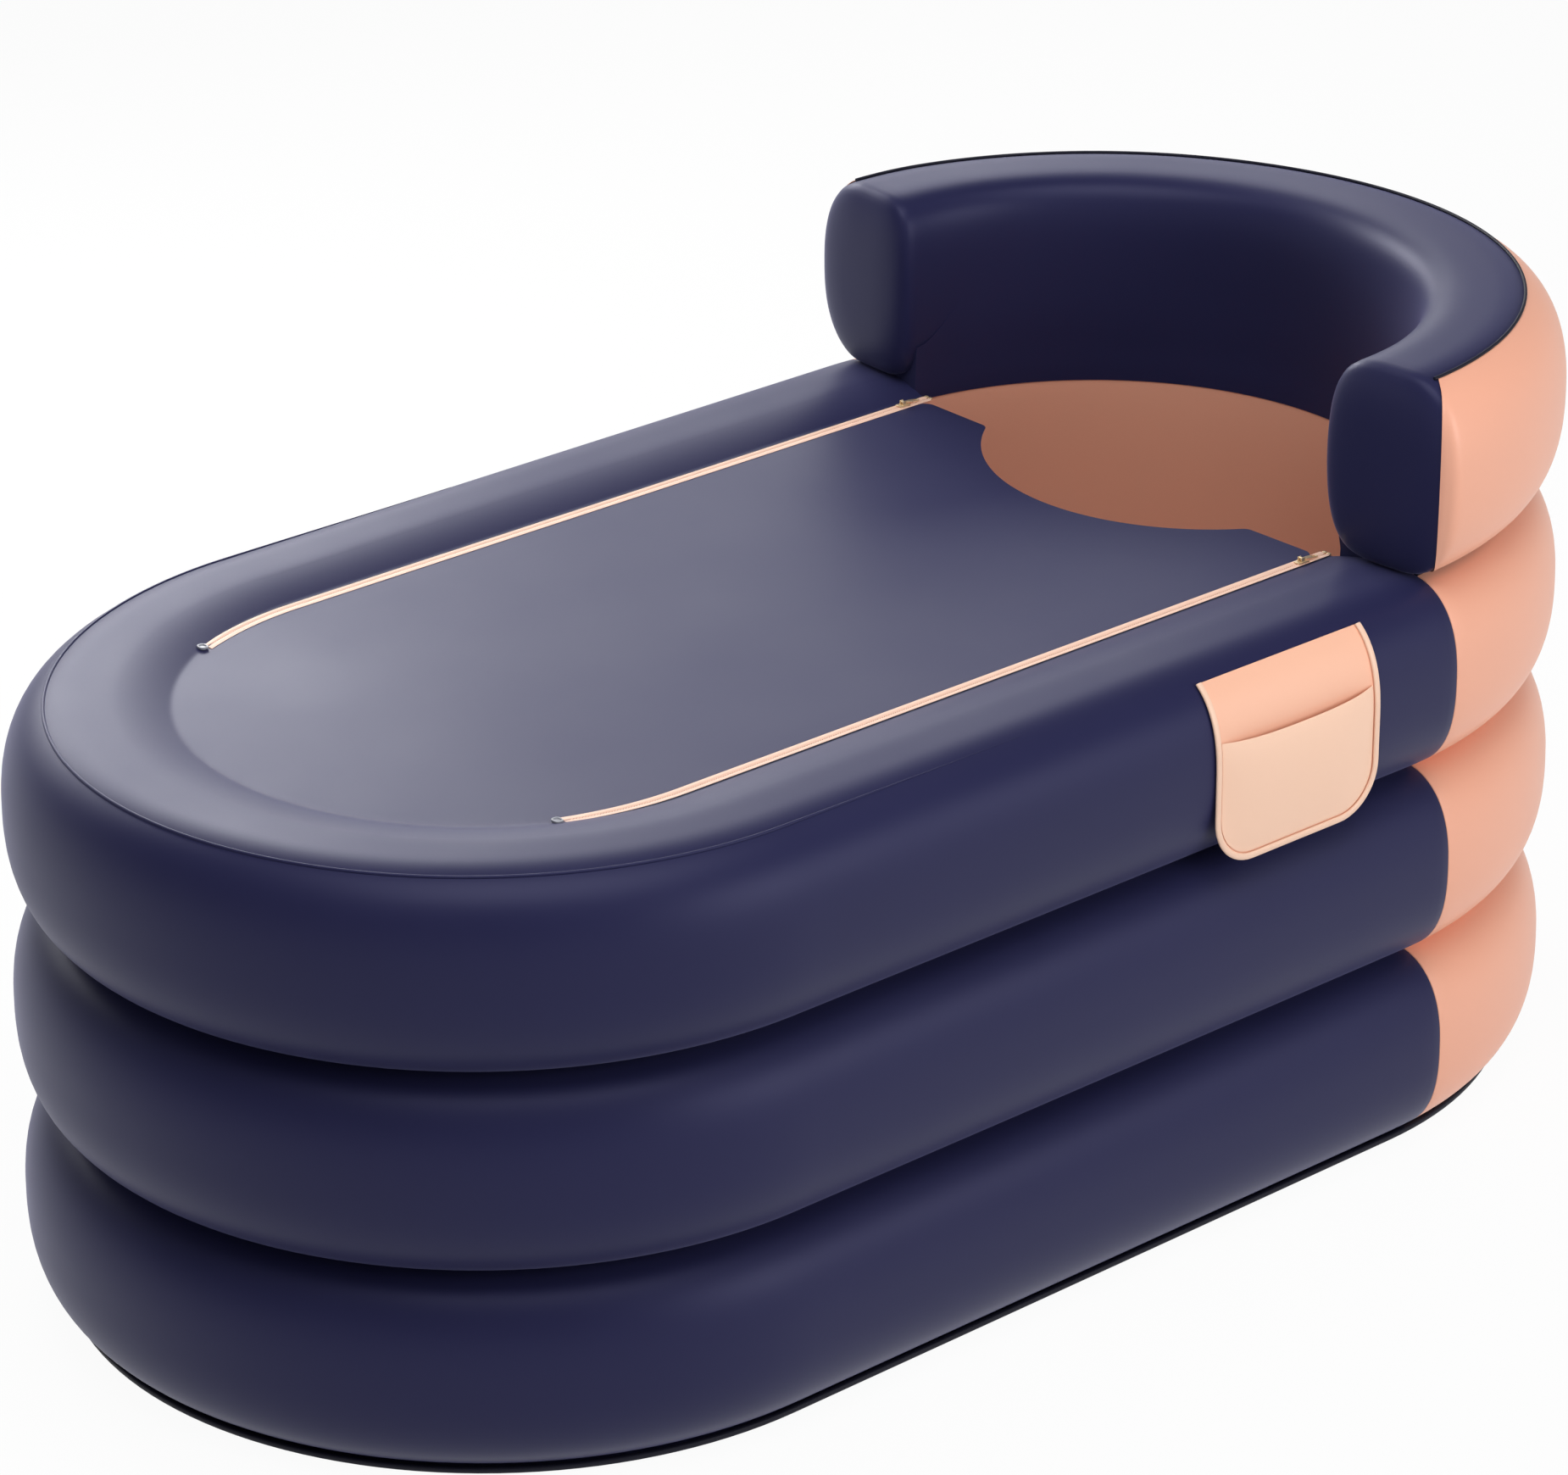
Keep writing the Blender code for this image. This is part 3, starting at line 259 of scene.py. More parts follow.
def make_round(name, outline, closed=True):
    """A piece that goes all the way round the oval, from (radius, height) points."""
    piece = start_outline(name, [spot(-STRAIGHT, 0.0, r, z) for r, z in outline], closed)
    turn(-STRAIGHT, HALF_TURN, 72)
    run(2 * STRAIGHT, 20)
    turn(STRAIGHT, HALF_TURN, 72)
    run(-2 * STRAIGHT, 20)
    return close_up(piece)


def apply_all(piece):
    """Applies every modifier in order."""
    select_only(piece)
    for modifier in list(piece.modifiers):
        bpy.ops.object.modifier_apply(modifier=modifier.name)
    return piece


def thicken(piece, thickness, side):
    """Gives a sheet its thickness: side -1 grows it behind its faces, 1 before them."""
    skin = piece.modifiers.new("skin", "SOLIDIFY")
    skin.thickness = thickness
    skin.offset = side
    skin.use_even_offset = True
    return apply_all(piece)


def film_from_rows(name, rows):
    """A grid primitive whose points are moved onto rows of points."""
    deselect_all()
    bpy.ops.mesh.primitive_grid_add(x_subdivisions=len(rows[0]) - 1, y_subdivisions=len(rows) - 1)
    film_piece = rename(bpy.context.object, name)
    for vert, point in zip(film_piece.data.vertices, [p for row in rows for p in row]):
        vert.co = point
    return film_piece


def finish_film(piece, outward, thickness, side):
    """Turns an open film's faces to look outwards, gives it its thickness and smooths it."""
    total = sum((face.normal * face.area for face in piece.data.polygons), Vector())
    if total.dot(outward) < 0:
        piece.data.flip_normals()
    thicken(piece, thickness, side)
    return smooth(piece)


# %% [markdown]
# ## Finishes
#
# The tub is calendered PVC film: satin, very smooth, with a faint grain pressed in by the rollers.
# Grain and the slow change of tone over a large sheet are one effect that all the films share, so
# they are one node group. It gives a mottle for tone and roughness, and a relief for the bump.

# %% Shared film grain
def add_node(tree, kind, **values):
    """A node with some of its input sockets set."""
    node = tree.nodes.new(kind)
    for name, value in values.items():
        node.inputs[name.replace("_", " ")].default_value = value
    return node


def add_math(tree, operation):
    node = tree.nodes.new("ShaderNodeMath")
    node.operation = operation
    return node


def wire(tree, *wires):
    """Links nodes: each wire is a node and its output, then a node and its input."""
    for source, output, target, entry in wires:
        tree.links.new(source.outputs[output], target.inputs[entry])


def film_grain_group():
    """Mottle and relief of calendered film, at a given size in metres."""
    group = bpy.data.node_groups.new("film grain", "ShaderNodeTree")
    for name, size in (("Grain Size", 0.0012), ("Cloud Size", 0.18)):
        socket = group.interface.new_socket(name, in_out="INPUT", socket_type="NodeSocketFloat")
        socket.default_value = size
    for name in ("Mottle", "Relief"):
        group.interface.new_socket(name, in_out="OUTPUT", socket_type="NodeSocketFloat")
    given = group.nodes.new("NodeGroupInput")
    result = group.nodes.new("NodeGroupOutput")
    coords = group.nodes.new("ShaderNodeTexCoord")
    textures = []
    for name, detail in (("Grain Size", 2.0), ("Cloud Size", 3.0)):
        inverse = add_math(group, "DIVIDE")
        inverse.inputs[0].default_value = 1.0
        texture = add_node(group, "ShaderNodeTexNoise", Detail=detail)
        wire(group, (given, name, inverse, 1), (inverse, 0, texture, "Scale"),
             (coords, "Object", texture, "Vector"))
        textures.append(texture)
    grain, cloud = textures
    blend = add_node(group, "ShaderNodeMix", Factor=0.25)
    wire(group, (cloud, "Fac", blend, 2), (grain, "Fac", blend, 3),
         (blend, 0, result, "Mottle"), (grain, "Fac", result, "Relief"))
    return group


FILM_GRAIN = film_grain_group()


def film(name, deep, light, roughness, grain=0.0012, cloud=0.18, relief=0.00003, **shader_values):
    """A film or moulded finish: two tones by the mottle, its roughness and its fine relief."""
    material = bpy.data.materials.new(name)
    material.use_nodes = True
    tree = material.node_tree
    shader = tree.nodes["Principled BSDF"]
    for socket, value in shader_values.items():
        shader.inputs[socket.replace("_", " ")].default_value = value
    group = tree.nodes.new("ShaderNodeGroup")
    group.node_tree = FILM_GRAIN
    group.inputs["Grain Size"].default_value = grain
    group.inputs["Cloud Size"].default_value = cloud
    tone = tree.nodes.new("ShaderNodeMix")
    tone.data_type = "RGBA"
    tone.inputs[6].default_value = (*deep, 1.0)
    tone.inputs[7].default_value = (*light, 1.0)
    gloss = add_node(tree, "ShaderNodeMapRange", From_Min=0.3, From_Max=0.7,
                     To_Min=roughness[0], To_Max=roughness[1])
    bump = add_node(tree, "ShaderNodeBump", Strength=1.0, Distance=relief)
    wire(tree, (group, "Mottle", tone, "Factor"), (group, "Mottle", gloss, "Value"),
         (group, "Relief", bump, "Height"), (tone, 2, shader, "Base Color"),
         (gloss, "Result", shader, "Roughness"), (bump, "Normal", shader, "Normal"))
    material.diffuse_color = (*light, 1.0)
    return material


# %% Finishes of this tub
NAVY_FILM = film("navy film", (0.0150, 0.0155, 0.056), (0.0182, 0.0187, 0.066), (0.42, 0.48),
                 Specular_IOR_Level=0.27, Specular_Tint=(0.68, 0.68, 1.0, 1.0),
                 Sheen_Weight=0.24, Sheen_Roughness=0.40, Sheen_Tint=(0.46, 0.46, 0.80, 1.0))
PEACH_FILM = film("peach film", (0.88, 0.42, 0.285), (0.91, 0.45, 0.310), (0.38, 0.44))
POCKET_PEACH = film("pocket peach film", (0.93, 0.505, 0.345), (0.95, 0.535, 0.375), (0.40, 0.46))
POUCH_PEACH = film("pouch peach film", (0.97, 0.625, 0.455), (0.98, 0.655, 0.485), (0.40, 0.46))
PALE_PEACH = film("pale peach trim", (0.92, 0.60, 0.44), (0.95, 0.66, 0.50), (0.34, 0.42),
                  grain=0.0006, cloud=0.02)
ZIP_PEACH = film("pale peach zip", (0.88, 0.56, 0.42), (0.93, 0.63, 0.49), (0.46, 0.54),
                 grain=0.0005, cloud=0.01)
# Near black. The base rim, the crease bead and the outer strips of the zip bands wear it as painted
# shade; the panel's top bead wears it as its own colour.
DARK_BEAD_AND_SHADE = film("dark bead and painted shade", (0.008, 0.008, 0.018), (0.012, 0.012, 0.025), (0.50, 0.60),
                 grain=0.0008, cloud=0.03, Specular_IOR_Level=0.22)
GOLD = film("gold plated metal", (0.93, 0.70, 0.42), (0.97, 0.80, 0.54), (0.30, 0.38),
            grain=0.0004, cloud=0.006, relief=0.00001, Metallic=0.8)
GREY_PLASTIC = film("grey moulded plastic", (0.26, 0.27, 0.31), (0.34, 0.35, 0.39), (0.30, 0.40),
                    grain=0.0004, cloud=0.006)
VALVE_PVC = film("white moulded PVC", (0.74, 0.75, 0.76), (0.82, 0.83, 0.84), (0.34, 0.44),
                 grain=0.0007, cloud=0.02)
SILICONE = film("silicone rubber", (0.55, 0.56, 0.55), (0.64, 0.65, 0.64), (0.48, 0.60),
                grain=0.0009, cloud=0.012, Subsurface_Weight=0.15)
print("finishes:", len(bpy.data.materials))


def dress(piece, material, body, slot, *nodes):
    """Gives a finished piece its material and body, and hides the plain solids it stands for. The
    slot is not used.
    """
    piece.data.materials.clear()
    piece.data.materials.append(material)
    if body:
        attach(piece, body)
    if nodes:
        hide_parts(*nodes)
    return piece


# %% [markdown]
# ## The air rings
#
# Three rings lie on each other. Each is a navy tube round the foot and sides and a peach tube round
# the head, welded end to end. The weld is a shallow groove with two rounded rims, so each tube gets
# a small bevel at its ends. At the head each peach tube is pulled flat where its valve is welded.

# %% Air rings
RING_HEIGHT, RING_HALF, FIRST_MID = 0.175, 0.08735, 0.08865
VALVE_SEAT_X, SEAT_SOFTNESS = 0.7473, 0.0004
END_BEVEL = 0.0009


def ring_mid(level):
    return FIRST_MID + RING_HEIGHT * level


def pull_flat(piece, limit):
    """Holds the outermost face at the head back to a soft flat under the valve."""
    for vert in piece.data.vertices:
        over = vert.co.x - limit
        if over > -10 * SEAT_SOFTNESS:
            vert.co.x = limit - SEAT_SOFTNESS * math.log1p(math.exp(-over / SEAT_SOFTNESS))


for level, name in enumerate(RINGS):
    outline = tube_outline(RING_HALF, ring_mid(level))
    start = [spot(STRAIGHT, -SEAM_ANGLE, TUBE_RADIUS + u, z) for u, z in outline]
    tube = start_outline(f"{name}_front_tube", start)
    sweep_front()
    close_up(tube, END_BEVEL)
    dress(tube, NAVY_FILM, "tub", "navy_sheet", f"{name}_chamber_front")

    start = [spot(STRAIGHT, HALF_TURN + REAR_SEAM_ANGLE, TUBE_RADIUS + u, z) for u, z in outline]
    tube = start_outline(f"{name}_rear_tube", start)
    turn(STRAIGHT, HALF_TURN - 2 * REAR_SEAM_ANGLE, 72)
    close_up(tube, END_BEVEL)
    pull_flat(tube, VALVE_SEAT_X)
    dress(tube, PEACH_FILM, "tub", "peach_sheet", f"{name}_chamber_rear")
    print(name, "ring at z", round(ring_mid(level), 4))

# %% [markdown]
# ## Base sheet and its rim
#
# The rings stand on one flat sheet. Under the lowest ring a near-black bead runs all round: its
# black is painted shadow where the ring meets the floor.
# The sheet is swept from the oval's spine outwards, which gives clean long faces.

# %% Base sheet and rim bead
BASE_RADIUS = 0.3652
RIM_INNER, RIM_OUTER, RIM_TOP = 0.3655, 0.3715, 0.0055

edge = [(0.0, 0.0010), (BASE_RADIUS - 0.004, 0.0010), (BASE_RADIUS, 0.0009),
        (BASE_RADIUS, 0.0001), (BASE_RADIUS - 0.004, 0.0), (0.0, 0.0)]
base = make_round("base_sheet_film", edge, closed=False)
dress(base, NAVY_FILM, "tub", "navy_sheet", "base_sheet")

# The rim bead is near black: painted shadow where the lowest ring meets the floor.
rim_middle, rim_half = (RIM_INNER + RIM_OUTER) / 2, (RIM_OUTER - RIM_INNER) / 2
rim_outline = oval_points(rim_half, RIM_TOP / 2, 2.8, 16)
rim = make_round("base_rim", [(rim_middle + u, RIM_TOP / 2 + v) for u, v in rim_outline])
dress(rim, DARK_BEAD_AND_SHADE, "tub", "dark_bead", "base_rim_bead")

# %% [markdown]
# ## Lining and air floor
#
# A peach sheet lines the well, so that no crease between the rings is open to the water. Behind the
# bather it rises to the backrest. The air floor under it is a low cushion with drawn-in sides.

# %% Lining
LINING_FOOT, LINING_TOP, LINING_RISE = 0.0013, 0.5125, 0.0120
LINING_GAP, LINING_SKIN = 0.0003, 0.0005
LINING_OUT = WALL_RADIUS - LINING_GAP
LINING_IN = LINING_OUT - LINING_SKIN
heights = [LINING_FOOT + (LINING_TOP - LINING_FOOT) * step / 24 for step in range(25)]
wall_points = [(LINING_OUT, z) for z in heights] + [(LINING_IN, z) for z in reversed(heights)]
lining = make_round("well_lining", wall_points)
for vert in lining.data.vertices:
    behind = smooth_step(vert.co.x, STRAIGHT + 0.006, STRAIGHT + 0.034)
    vert.co.z += LINING_RISE * behind * smooth_step(vert.co.z, 0.40, LINING_TOP)
dress(lining, PEACH_FILM, "tub", "peach_sheet", "inner_wall")

# %% Air floor
CUSHION_EDGE = LINING_IN - 0.0063
CUSHION_TOP, CUSHION_ROUND, CROWN = 0.0463, 0.028, 0.004
middle_z = (LINING_FOOT + CUSHION_TOP - CROWN) / 2
half_z = (CUSHION_TOP - CROWN - LINING_FOOT) / 2
side = []
for step in range(25):
    offset = superellipse(math.pi / 2 - math.pi * step / 24, CUSHION_ROUND, half_z, OUTER_POWER)
    side.append((CUSHION_EDGE - CUSHION_ROUND + offset.x, middle_z + offset.y))
inner_steps = [0.0, 0.06, 0.12, 0.17, 0.21]
flat_top = [(r, middle_z + half_z) for r in inner_steps]
flat_foot = [(r, middle_z - half_z) for r in reversed(inner_steps)]
cushion = make_round("air_floor", flat_top + side + flat_foot, closed=False)
for vert in cushion.data.vertices:
    if vert.co.z > middle_z:
        beyond = max(abs(vert.co.x) - STRAIGHT, 0.0)
        away = math.hypot(beyond, vert.co.y) / CUSHION_EDGE
        vert.co.z += CROWN * (1 - min(away, 1.0) ** 2) * (vert.co.z - middle_z) / half_z
dress(cushion, PEACH_FILM, "tub", "peach_sheet", "floor_cushion")
print("air floor top", round(max(v.co.z for v in cushion.data.vertices), 4))

# %% [markdown]
# ## The backrest
#
# The backrest is a C-shaped bolster on the head end. It is swept like a ring, and each end is
# closed by extruding its rim in small steps that shrink, which gives the nearly flat end with its
# soft corner. Then it settles as the real one does: its ends swell inwards, the near one most, and
# its far half is a little narrower and lower. What lies on it settles by the same rule.

# %% Backrest chamber
BACK_HALF, BACK_MID, BACK_STEPS = 0.09085, 0.61715, 84
DOME_REACH, DOME_POWER, DOME_STEPS = 0.020, 3.4, 10
END_REACH = 0.10
END_SWELL = {-1: 0.018, 1: 0.005}
END_NARROW = {-1: 0.0, 1: 0.008}
CROWN_SINK = 0.008


def close_with_dome(piece, angle, away):
    """Extrudes one end of the backrest into a low dome."""
    centre = spot(STRAIGHT, angle, TUBE_RADIUS, BACK_MID)
    select_parts(piece, "EDGE", lambda part: part.is_boundary and all(
        abs((vert.co - centre).dot(away)) < 0.0005 for vert in part.verts))
    reach, scale = 0.0, 1.0
    for step in range(1, DOME_STEPS):
        lean = superellipse(math.pi / 2 * step / DOME_STEPS, 1.0, 1.0, DOME_POWER)
        extrude(away * (lean.y * DOME_REACH - reach))
        reach = lean.y * DOME_REACH
        shrink = lean.x / scale
        bpy.ops.transform.resize(value=(shrink, shrink, shrink),
                                 center_override=centre + away * reach)
        scale = lean.x


def settle(piece):
    """Swells the backrest's ends inwards, narrows the far one and sinks the far crown a little."""
    for vert in piece.data.vertices:
        out = Vector((vert.co.x - STRAIGHT, vert.co.y))
        side = -1 if vert.co.y < 0 else 1
        at_end = smooth_step(-out.x, -END_REACH, SEAM_SETBACK)
        inside = smooth_step(TUBE_RADIUS - out.length, -0.010, 0.050)
        outside = smooth_step(out.length - TUBE_RADIUS, -0.010, 0.050)
        up = (vert.co.z - BACK_MID) / BACK_HALF
        vert.co.z -= CROWN_SINK * smooth_step(vert.co.y, -0.36, 0.20) * max(up + 1, 0.0) / 2
        vert.co.y -= side * at_end * (END_SWELL[side] * inside * max(1 - up ** 2, 0.0)
                                      + END_NARROW[side] * outside)


outline = tube_outline(BACK_HALF, BACK_MID)
far_end, near_end = HALF_TURN + SEAM_ANGLE, 2 * HALF_TURN - SEAM_ANGLE
start = [spot(STRAIGHT, far_end, TUBE_RADIUS + u, z) for u, z in outline]
backrest = start_outline("backrest_bolster", start)
turn(STRAIGHT, near_end - far_end, BACK_STEPS)
for angle, way in ((far_end, -1.0), (near_end, 1.0)):
    away = Vector((-math.cos(angle), math.sin(angle), 0.0)) * way
    close_with_dome(backrest, angle, away)
close_up(backrest)
pull_flat(backrest, VALVE_SEAT_X)
settle(backrest)
dress(backrest, NAVY_FILM, "tub", "navy_sheet", "backrest_chamber")

# %% [markdown]
# ### The outer panel
#
# A peach film lies over the bolster's outward bulge. At the far end it stops at the bolster's edge.
# At the near end a slanting straight cut ends it: its middle wraps onto the domed end, and its top
# and foot stop short. Its edge is raised a little by the weld, as a soft rim.

# %% Backrest outer panel
PANEL_SWEEP = math.radians(70)
PANEL_LIFT, PANEL_SKIN = 0.0003, 0.0005
RIM_LIFT, RIM_REACH = 0.0007, 0.0022
WRAP_STEPS, WRAP_LIFT = 10, 0.00003
CUT_ALONG, CUT_ACROSS, CUT_PLACE = 0.74, 0.66, 0.0215
CUT_REACH = 0.05
PANEL_RADIUS = OUTER_RADIUS - 0.012
PANEL_HALF = (near_end - far_end) / 2 * PANEL_RADIUS
EDGE_PLACES = (0.0, 0.0005, 0.0011, 0.0018, 0.0026, 0.0036, 0.0050, 0.0070, 0.0095, 0.0125)
EVEN_FROM = 0.018
arc = []
for step in range(401):
    angle = PANEL_SWEEP * (step / 200 - 1)
    arc.append(superellipse(angle, HALF_THICKNESS, BACK_HALF, OUTER_POWER))
arc = evenly(arc, 64, closed=False)
from_end = [*EDGE_PLACES, *(EVEN_FROM + (PANEL_HALF - EVEN_FROM) * step / 40 for step in range(41))]
panel_places = [place - PANEL_HALF for place in from_end]
panel_places += [-place for place in reversed(panel_places[:-1])]


def panel_end(out):
    """Where the slanting cut ends a line of the panel: how far short, and how far on the dome."""
    short = (CUT_PLACE - CUT_ACROSS * out) / CUT_ALONG
    if short > 0:
        return short, 0.0
    low, high = 0.0, math.pi / 2
    for _ in range(24):
        middle = (low + high) / 2
        lean = superellipse(middle, 1.0, 1.0, DOME_POWER)
        if CUT_ACROSS * out * lean.x - CUT_ALONG * DOME_REACH * lean.y > CUT_PLACE:
            low = middle
        else:
            high = middle
    return 0.0, low


def panel_line(index):
    """One long line of the panel, far end to near end, where it wraps onto the bolster's end."""
    point = arc[index]
    before, after = arc[max(index - 1, 0)], arc[min(index + 1, len(arc) - 1)]
    along = (after - before).normalized()
    outward = Vector((along.y, -along.x))
    short, end_lean = panel_end(point.x)
    line = []
    for place in panel_places:
        rim = RIM_LIFT * math.exp(-((place + PANEL_HALF) / RIM_REACH) ** 2)
        out = point + outward * (PANEL_LIFT + rim)
        place -= short * smooth_step(place, PANEL_HALF - CUT_REACH, PANEL_HALF)
        angle = 1.5 * HALF_TURN + place / PANEL_RADIUS
        line.append(spot(STRAIGHT, angle, TUBE_RADIUS + out.x, BACK_MID + out.y))
    away = Vector((-math.cos(near_end), math.sin(near_end), 0.0))
    for step in range(1, WRAP_STEPS + 1):
        lean = superellipse(end_lean * step / WRAP_STEPS, 1.0, 1.0, DOME_POWER)
        rim = PANEL_LIFT + RIM_LIFT * smooth_step(step, WRAP_STEPS - 3, WRAP_STEPS)
        tilt = math.atan2(lean.y ** (DOME_POWER - 1) / DOME_REACH,
                          lean.x ** (DOME_POWER - 1) / HALF_THICKNESS)
        out = point * lean.x + outward * rim * math.cos(tilt)
        forward = lean.y * DOME_REACH + rim * math.sin(tilt) - short + WRAP_LIFT * step
        line.append(spot(STRAIGHT, near_end, TUBE_RADIUS + out.x, BACK_MID + out.y)
                    + away * forward)
    return line


lines = [panel_line(index) for index in range(len(arc))]
panel = film_from_rows("backrest_panel", lines)
pull_flat(panel, VALVE_SEAT_X + PANEL_LIFT)
settle(panel)
finish_film(panel, BACK, PANEL_SKIN, 1)
dress(panel, PEACH_FILM, "tub", "peach_sheet", "backrest_outer_panel")

# %% [markdown]
# ### The film under the backrest
#
# A navy film joins the backrest to the lining, so no gap shows between bolster and ring. It covers
# the lining's upper edge, follows the backrest's wall upwards and sinks slowly into it. At both
# ends it turns outwards under the bolster, between the two rounds.

# %% Film under the backrest
SKIRT_LOW, SKIRT_TOP, SKIRT_ROWS = 0.5078, 0.6200, 16
SKIRT_BELOW, SKIRT_ABOVE, SKIRT_SKIN = 0.003, 0.004, 0.0003
SKIRT_DROP, SKIRT_DROP_REACH = 0.058, 0.30
SKIRT_LIFT, SKIRT_SINK, SINK_FROM = 0.0002, 0.0006, 0.56
LINING_ROOM, LINING_PASSED, WALL_MET = 0.0009, 0.515, 0.545
skirt_ends = (0.001, 0.0025, 0.005, 0.009, 0.015, 0.024, 0.036, 0.050)


def wall_height(out, half_tall):
    """Half the height of a tube's inner side at a distance from its middle."""
    return half_tall * max(1 - abs(out / HALF_THICKNESS) ** WALL_POWER, 0.0) ** (1 / WALL_POWER)


def skirt_column(angle, outwards):
    """One upright line of the film, which follows the backrest's wall or closes its end."""
    column = []
    radius = WALL_RADIUS + outwards
    out = radius - TUBE_RADIUS
    floor = max(SKIRT_LOW, ring_mid(2) + wall_height(out, RING_HALF) - SKIRT_BELOW)
    roof = BACK_MID - wall_height(out, BACK_HALF) + SKIRT_ABOVE
    from_end = min(angle - far_end, near_end - angle)
    roof = min(roof, SKIRT_TOP - SKIRT_DROP * (1 - smooth_step(from_end, 0.0, SKIRT_DROP_REACH)))
    for row in range(SKIRT_ROWS):
        z = floor + (roof - floor) * row / (SKIRT_ROWS - 1)
        sink = 0.0
        if not outwards:
            sink = SKIRT_SINK * smooth_step(z, SINK_FROM, SKIRT_TOP) - SKIRT_LIFT
            sink -= LINING_ROOM * (1 - smooth_step(z, LINING_PASSED, WALL_MET))
        column.append(spot(STRAIGHT, angle, radius + sink, z))
    return column


columns = [skirt_column(far_end, outwards) for outwards in reversed(skirt_ends)]
columns += [skirt_column(far_end + (near_end - far_end) * step / BACK_STEPS, 0.0)
            for step in range(BACK_STEPS + 1)]
columns += [skirt_column(near_end, outwards) for outwards in skirt_ends]
skirt = film_from_rows("backrest_skirt_film", [list(line) for line in zip(*columns)])
settle(skirt)
finish_film(skirt, -BACK, SKIRT_SKIN, 1)
dress(skirt, NAVY_FILM, "tub", "navy_sheet")

# %% [markdown]
# ## Beads
#
# A near-black bead fills the crease between backrest and ring; its black is painted shade in the
# crease. Another bead runs along the panel's top, and a fine ridge follows the foot of the upper
# ring and fades along the sides. They are round welds of film, so a small circle is swept along the
# same oval.

# %% Beads
def bead_ring(radius, z, bead_radius, anchor, angle, count=12):
    around = [math.tau * step / count for step in range(count)]
    return [spot(anchor, angle, radius + bead_radius * math.cos(a), z + bead_radius * math.sin(a))
            for a in around]


# The crease bead is near black: painted shade in the crease between backrest and ring.
BACK_BEADS = (("panel_top_bead", "backrest_rim_bead", 0.0015, 0.0013, True),
              ("crease_bead", "backrest_seat_bead", 0.0025, 0.0025, False))
for name, node, thin, inset, settles in BACK_BEADS:
    bead_low, bead_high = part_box(node)
    bead_z = (bead_low.z + bead_high.z) / 2
    bead = start_outline(name, bead_ring(bead_high.y - inset, bead_z, thin, STRAIGHT, far_end))
    turn(STRAIGHT, near_end - far_end, BACK_STEPS)
    close_up(bead)
    if settles:
        settle(bead)
    dress(bead, DARK_BEAD_AND_SHADE, "tub", "dark_bead", node)

RIDGE_RADIUS = 0.0015
ridge_point = superellipse(math.radians(70), HALF_THICKNESS, RING_HALF, OUTER_POWER)
ridge_r, ridge_z = TUBE_RADIUS + ridge_point.x, ring_mid(2) + ridge_point.y
ridge_reach = -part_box("top_rim_bead")[1].x
ridge = start_outline("foot_ridge", bead_ring(ridge_r, ridge_z, RIDGE_RADIUS, -STRAIGHT, 0.0))
bpy.ops.transform.translate(value=(STRAIGHT - ridge_reach, 0.0, 0.0))
run(ridge_reach - STRAIGHT, 12)
turn(-STRAIGHT, HALF_TURN, 72)
run(STRAIGHT - ridge_reach, 12)
close_up(ridge)
for vert in ridge.data.vertices:
    fade = 1 - 0.9 * smooth_step(vert.co.x, -STRAIGHT - 0.05, -ridge_reach)
    centre_y = math.copysign(ridge_r, vert.co.y)
    if vert.co.x > -STRAIGHT:
        vert.co.y = centre_y + (vert.co.y - centre_y) * fade
        vert.co.z = ridge_z + (vert.co.z - ridge_z) * fade
dress(ridge, NAVY_FILM, "tub", "dark_bead", "top_rim_bead")
print("ridge at radius", round(ridge_r, 4), "and z", round(ridge_z, 4))

# %% [markdown]
# ## The cover's border
#
# A navy film falls from the upper ring's crown to the zips, and round the foot to the cover's end.
# Pulled tight over the crown, it gets steeper all the way down and turns level in a small round.
# A grid primitive is bent by formula: each row starts on the crown at the crown's own slope.

# %% Cover border
COVER_Z, COVER_SKIN = 0.5160, 0.0006
ZIP_Y, ZIP_REACH = 0.2515, 0.0049
BEND_X, BEND_IN = -0.3600, 0.0210
FOLD_X, FOLD_EDGE = -0.46505, 0.0005
SEAM_X = FOLD_X - 0.0060
BORDER_COLUMNS, BORDER_START = 48, -0.0340
LEVEL_RADIUS, LEVEL_ROUND = 0.2566, 0.13
BORDER_SINK, SLOPE_DENSITY = 0.00005, 9


def zip_offset(x):
    """Distance of a zip's middle line from the tub's middle."""
    share = max((BEND_X - x) / (BEND_X - FOLD_X), 0.0)
    return ZIP_Y - BEND_IN * share ** 2


def border_stops():
    """Places round half of the border's inner edge: oval anchor, angle and distance."""
    first = (ZIP_Y + ZIP_REACH) / math.cos(SEAM_ANGLE)
    stops = [(STRAIGHT, -SEAM_ANGLE * (1 - step / 3), first) for step in range(3)]
    for step in range(25):
        stops.append((STRAIGHT - 2 * STRAIGHT * step / 24, 0.0, ZIP_Y + ZIP_REACH))
    zip_end = FOLD_X - FOLD_EDGE
    corner_y = zip_offset(FOLD_X) + ZIP_REACH
    for step in range(1, 21):
        x = -STRAIGHT + (zip_end + STRAIGHT) * step / 20
        y = zip_offset(x) + ZIP_REACH
        stops.append((-STRAIGHT, math.atan2(-STRAIGHT - x, y), math.hypot(-STRAIGHT - x, y)))
    corner = math.atan2(-STRAIGHT - SEAM_X, corner_y)
    stops.append((-STRAIGHT, corner, math.hypot(-STRAIGHT - SEAM_X, corner_y)))
    for step in range(1, 37):
        angle = corner + (math.pi / 2 - corner) * step / 36
        stops.append((-STRAIGHT, angle, (-STRAIGHT - SEAM_X) / math.sin(angle)))
    return stops


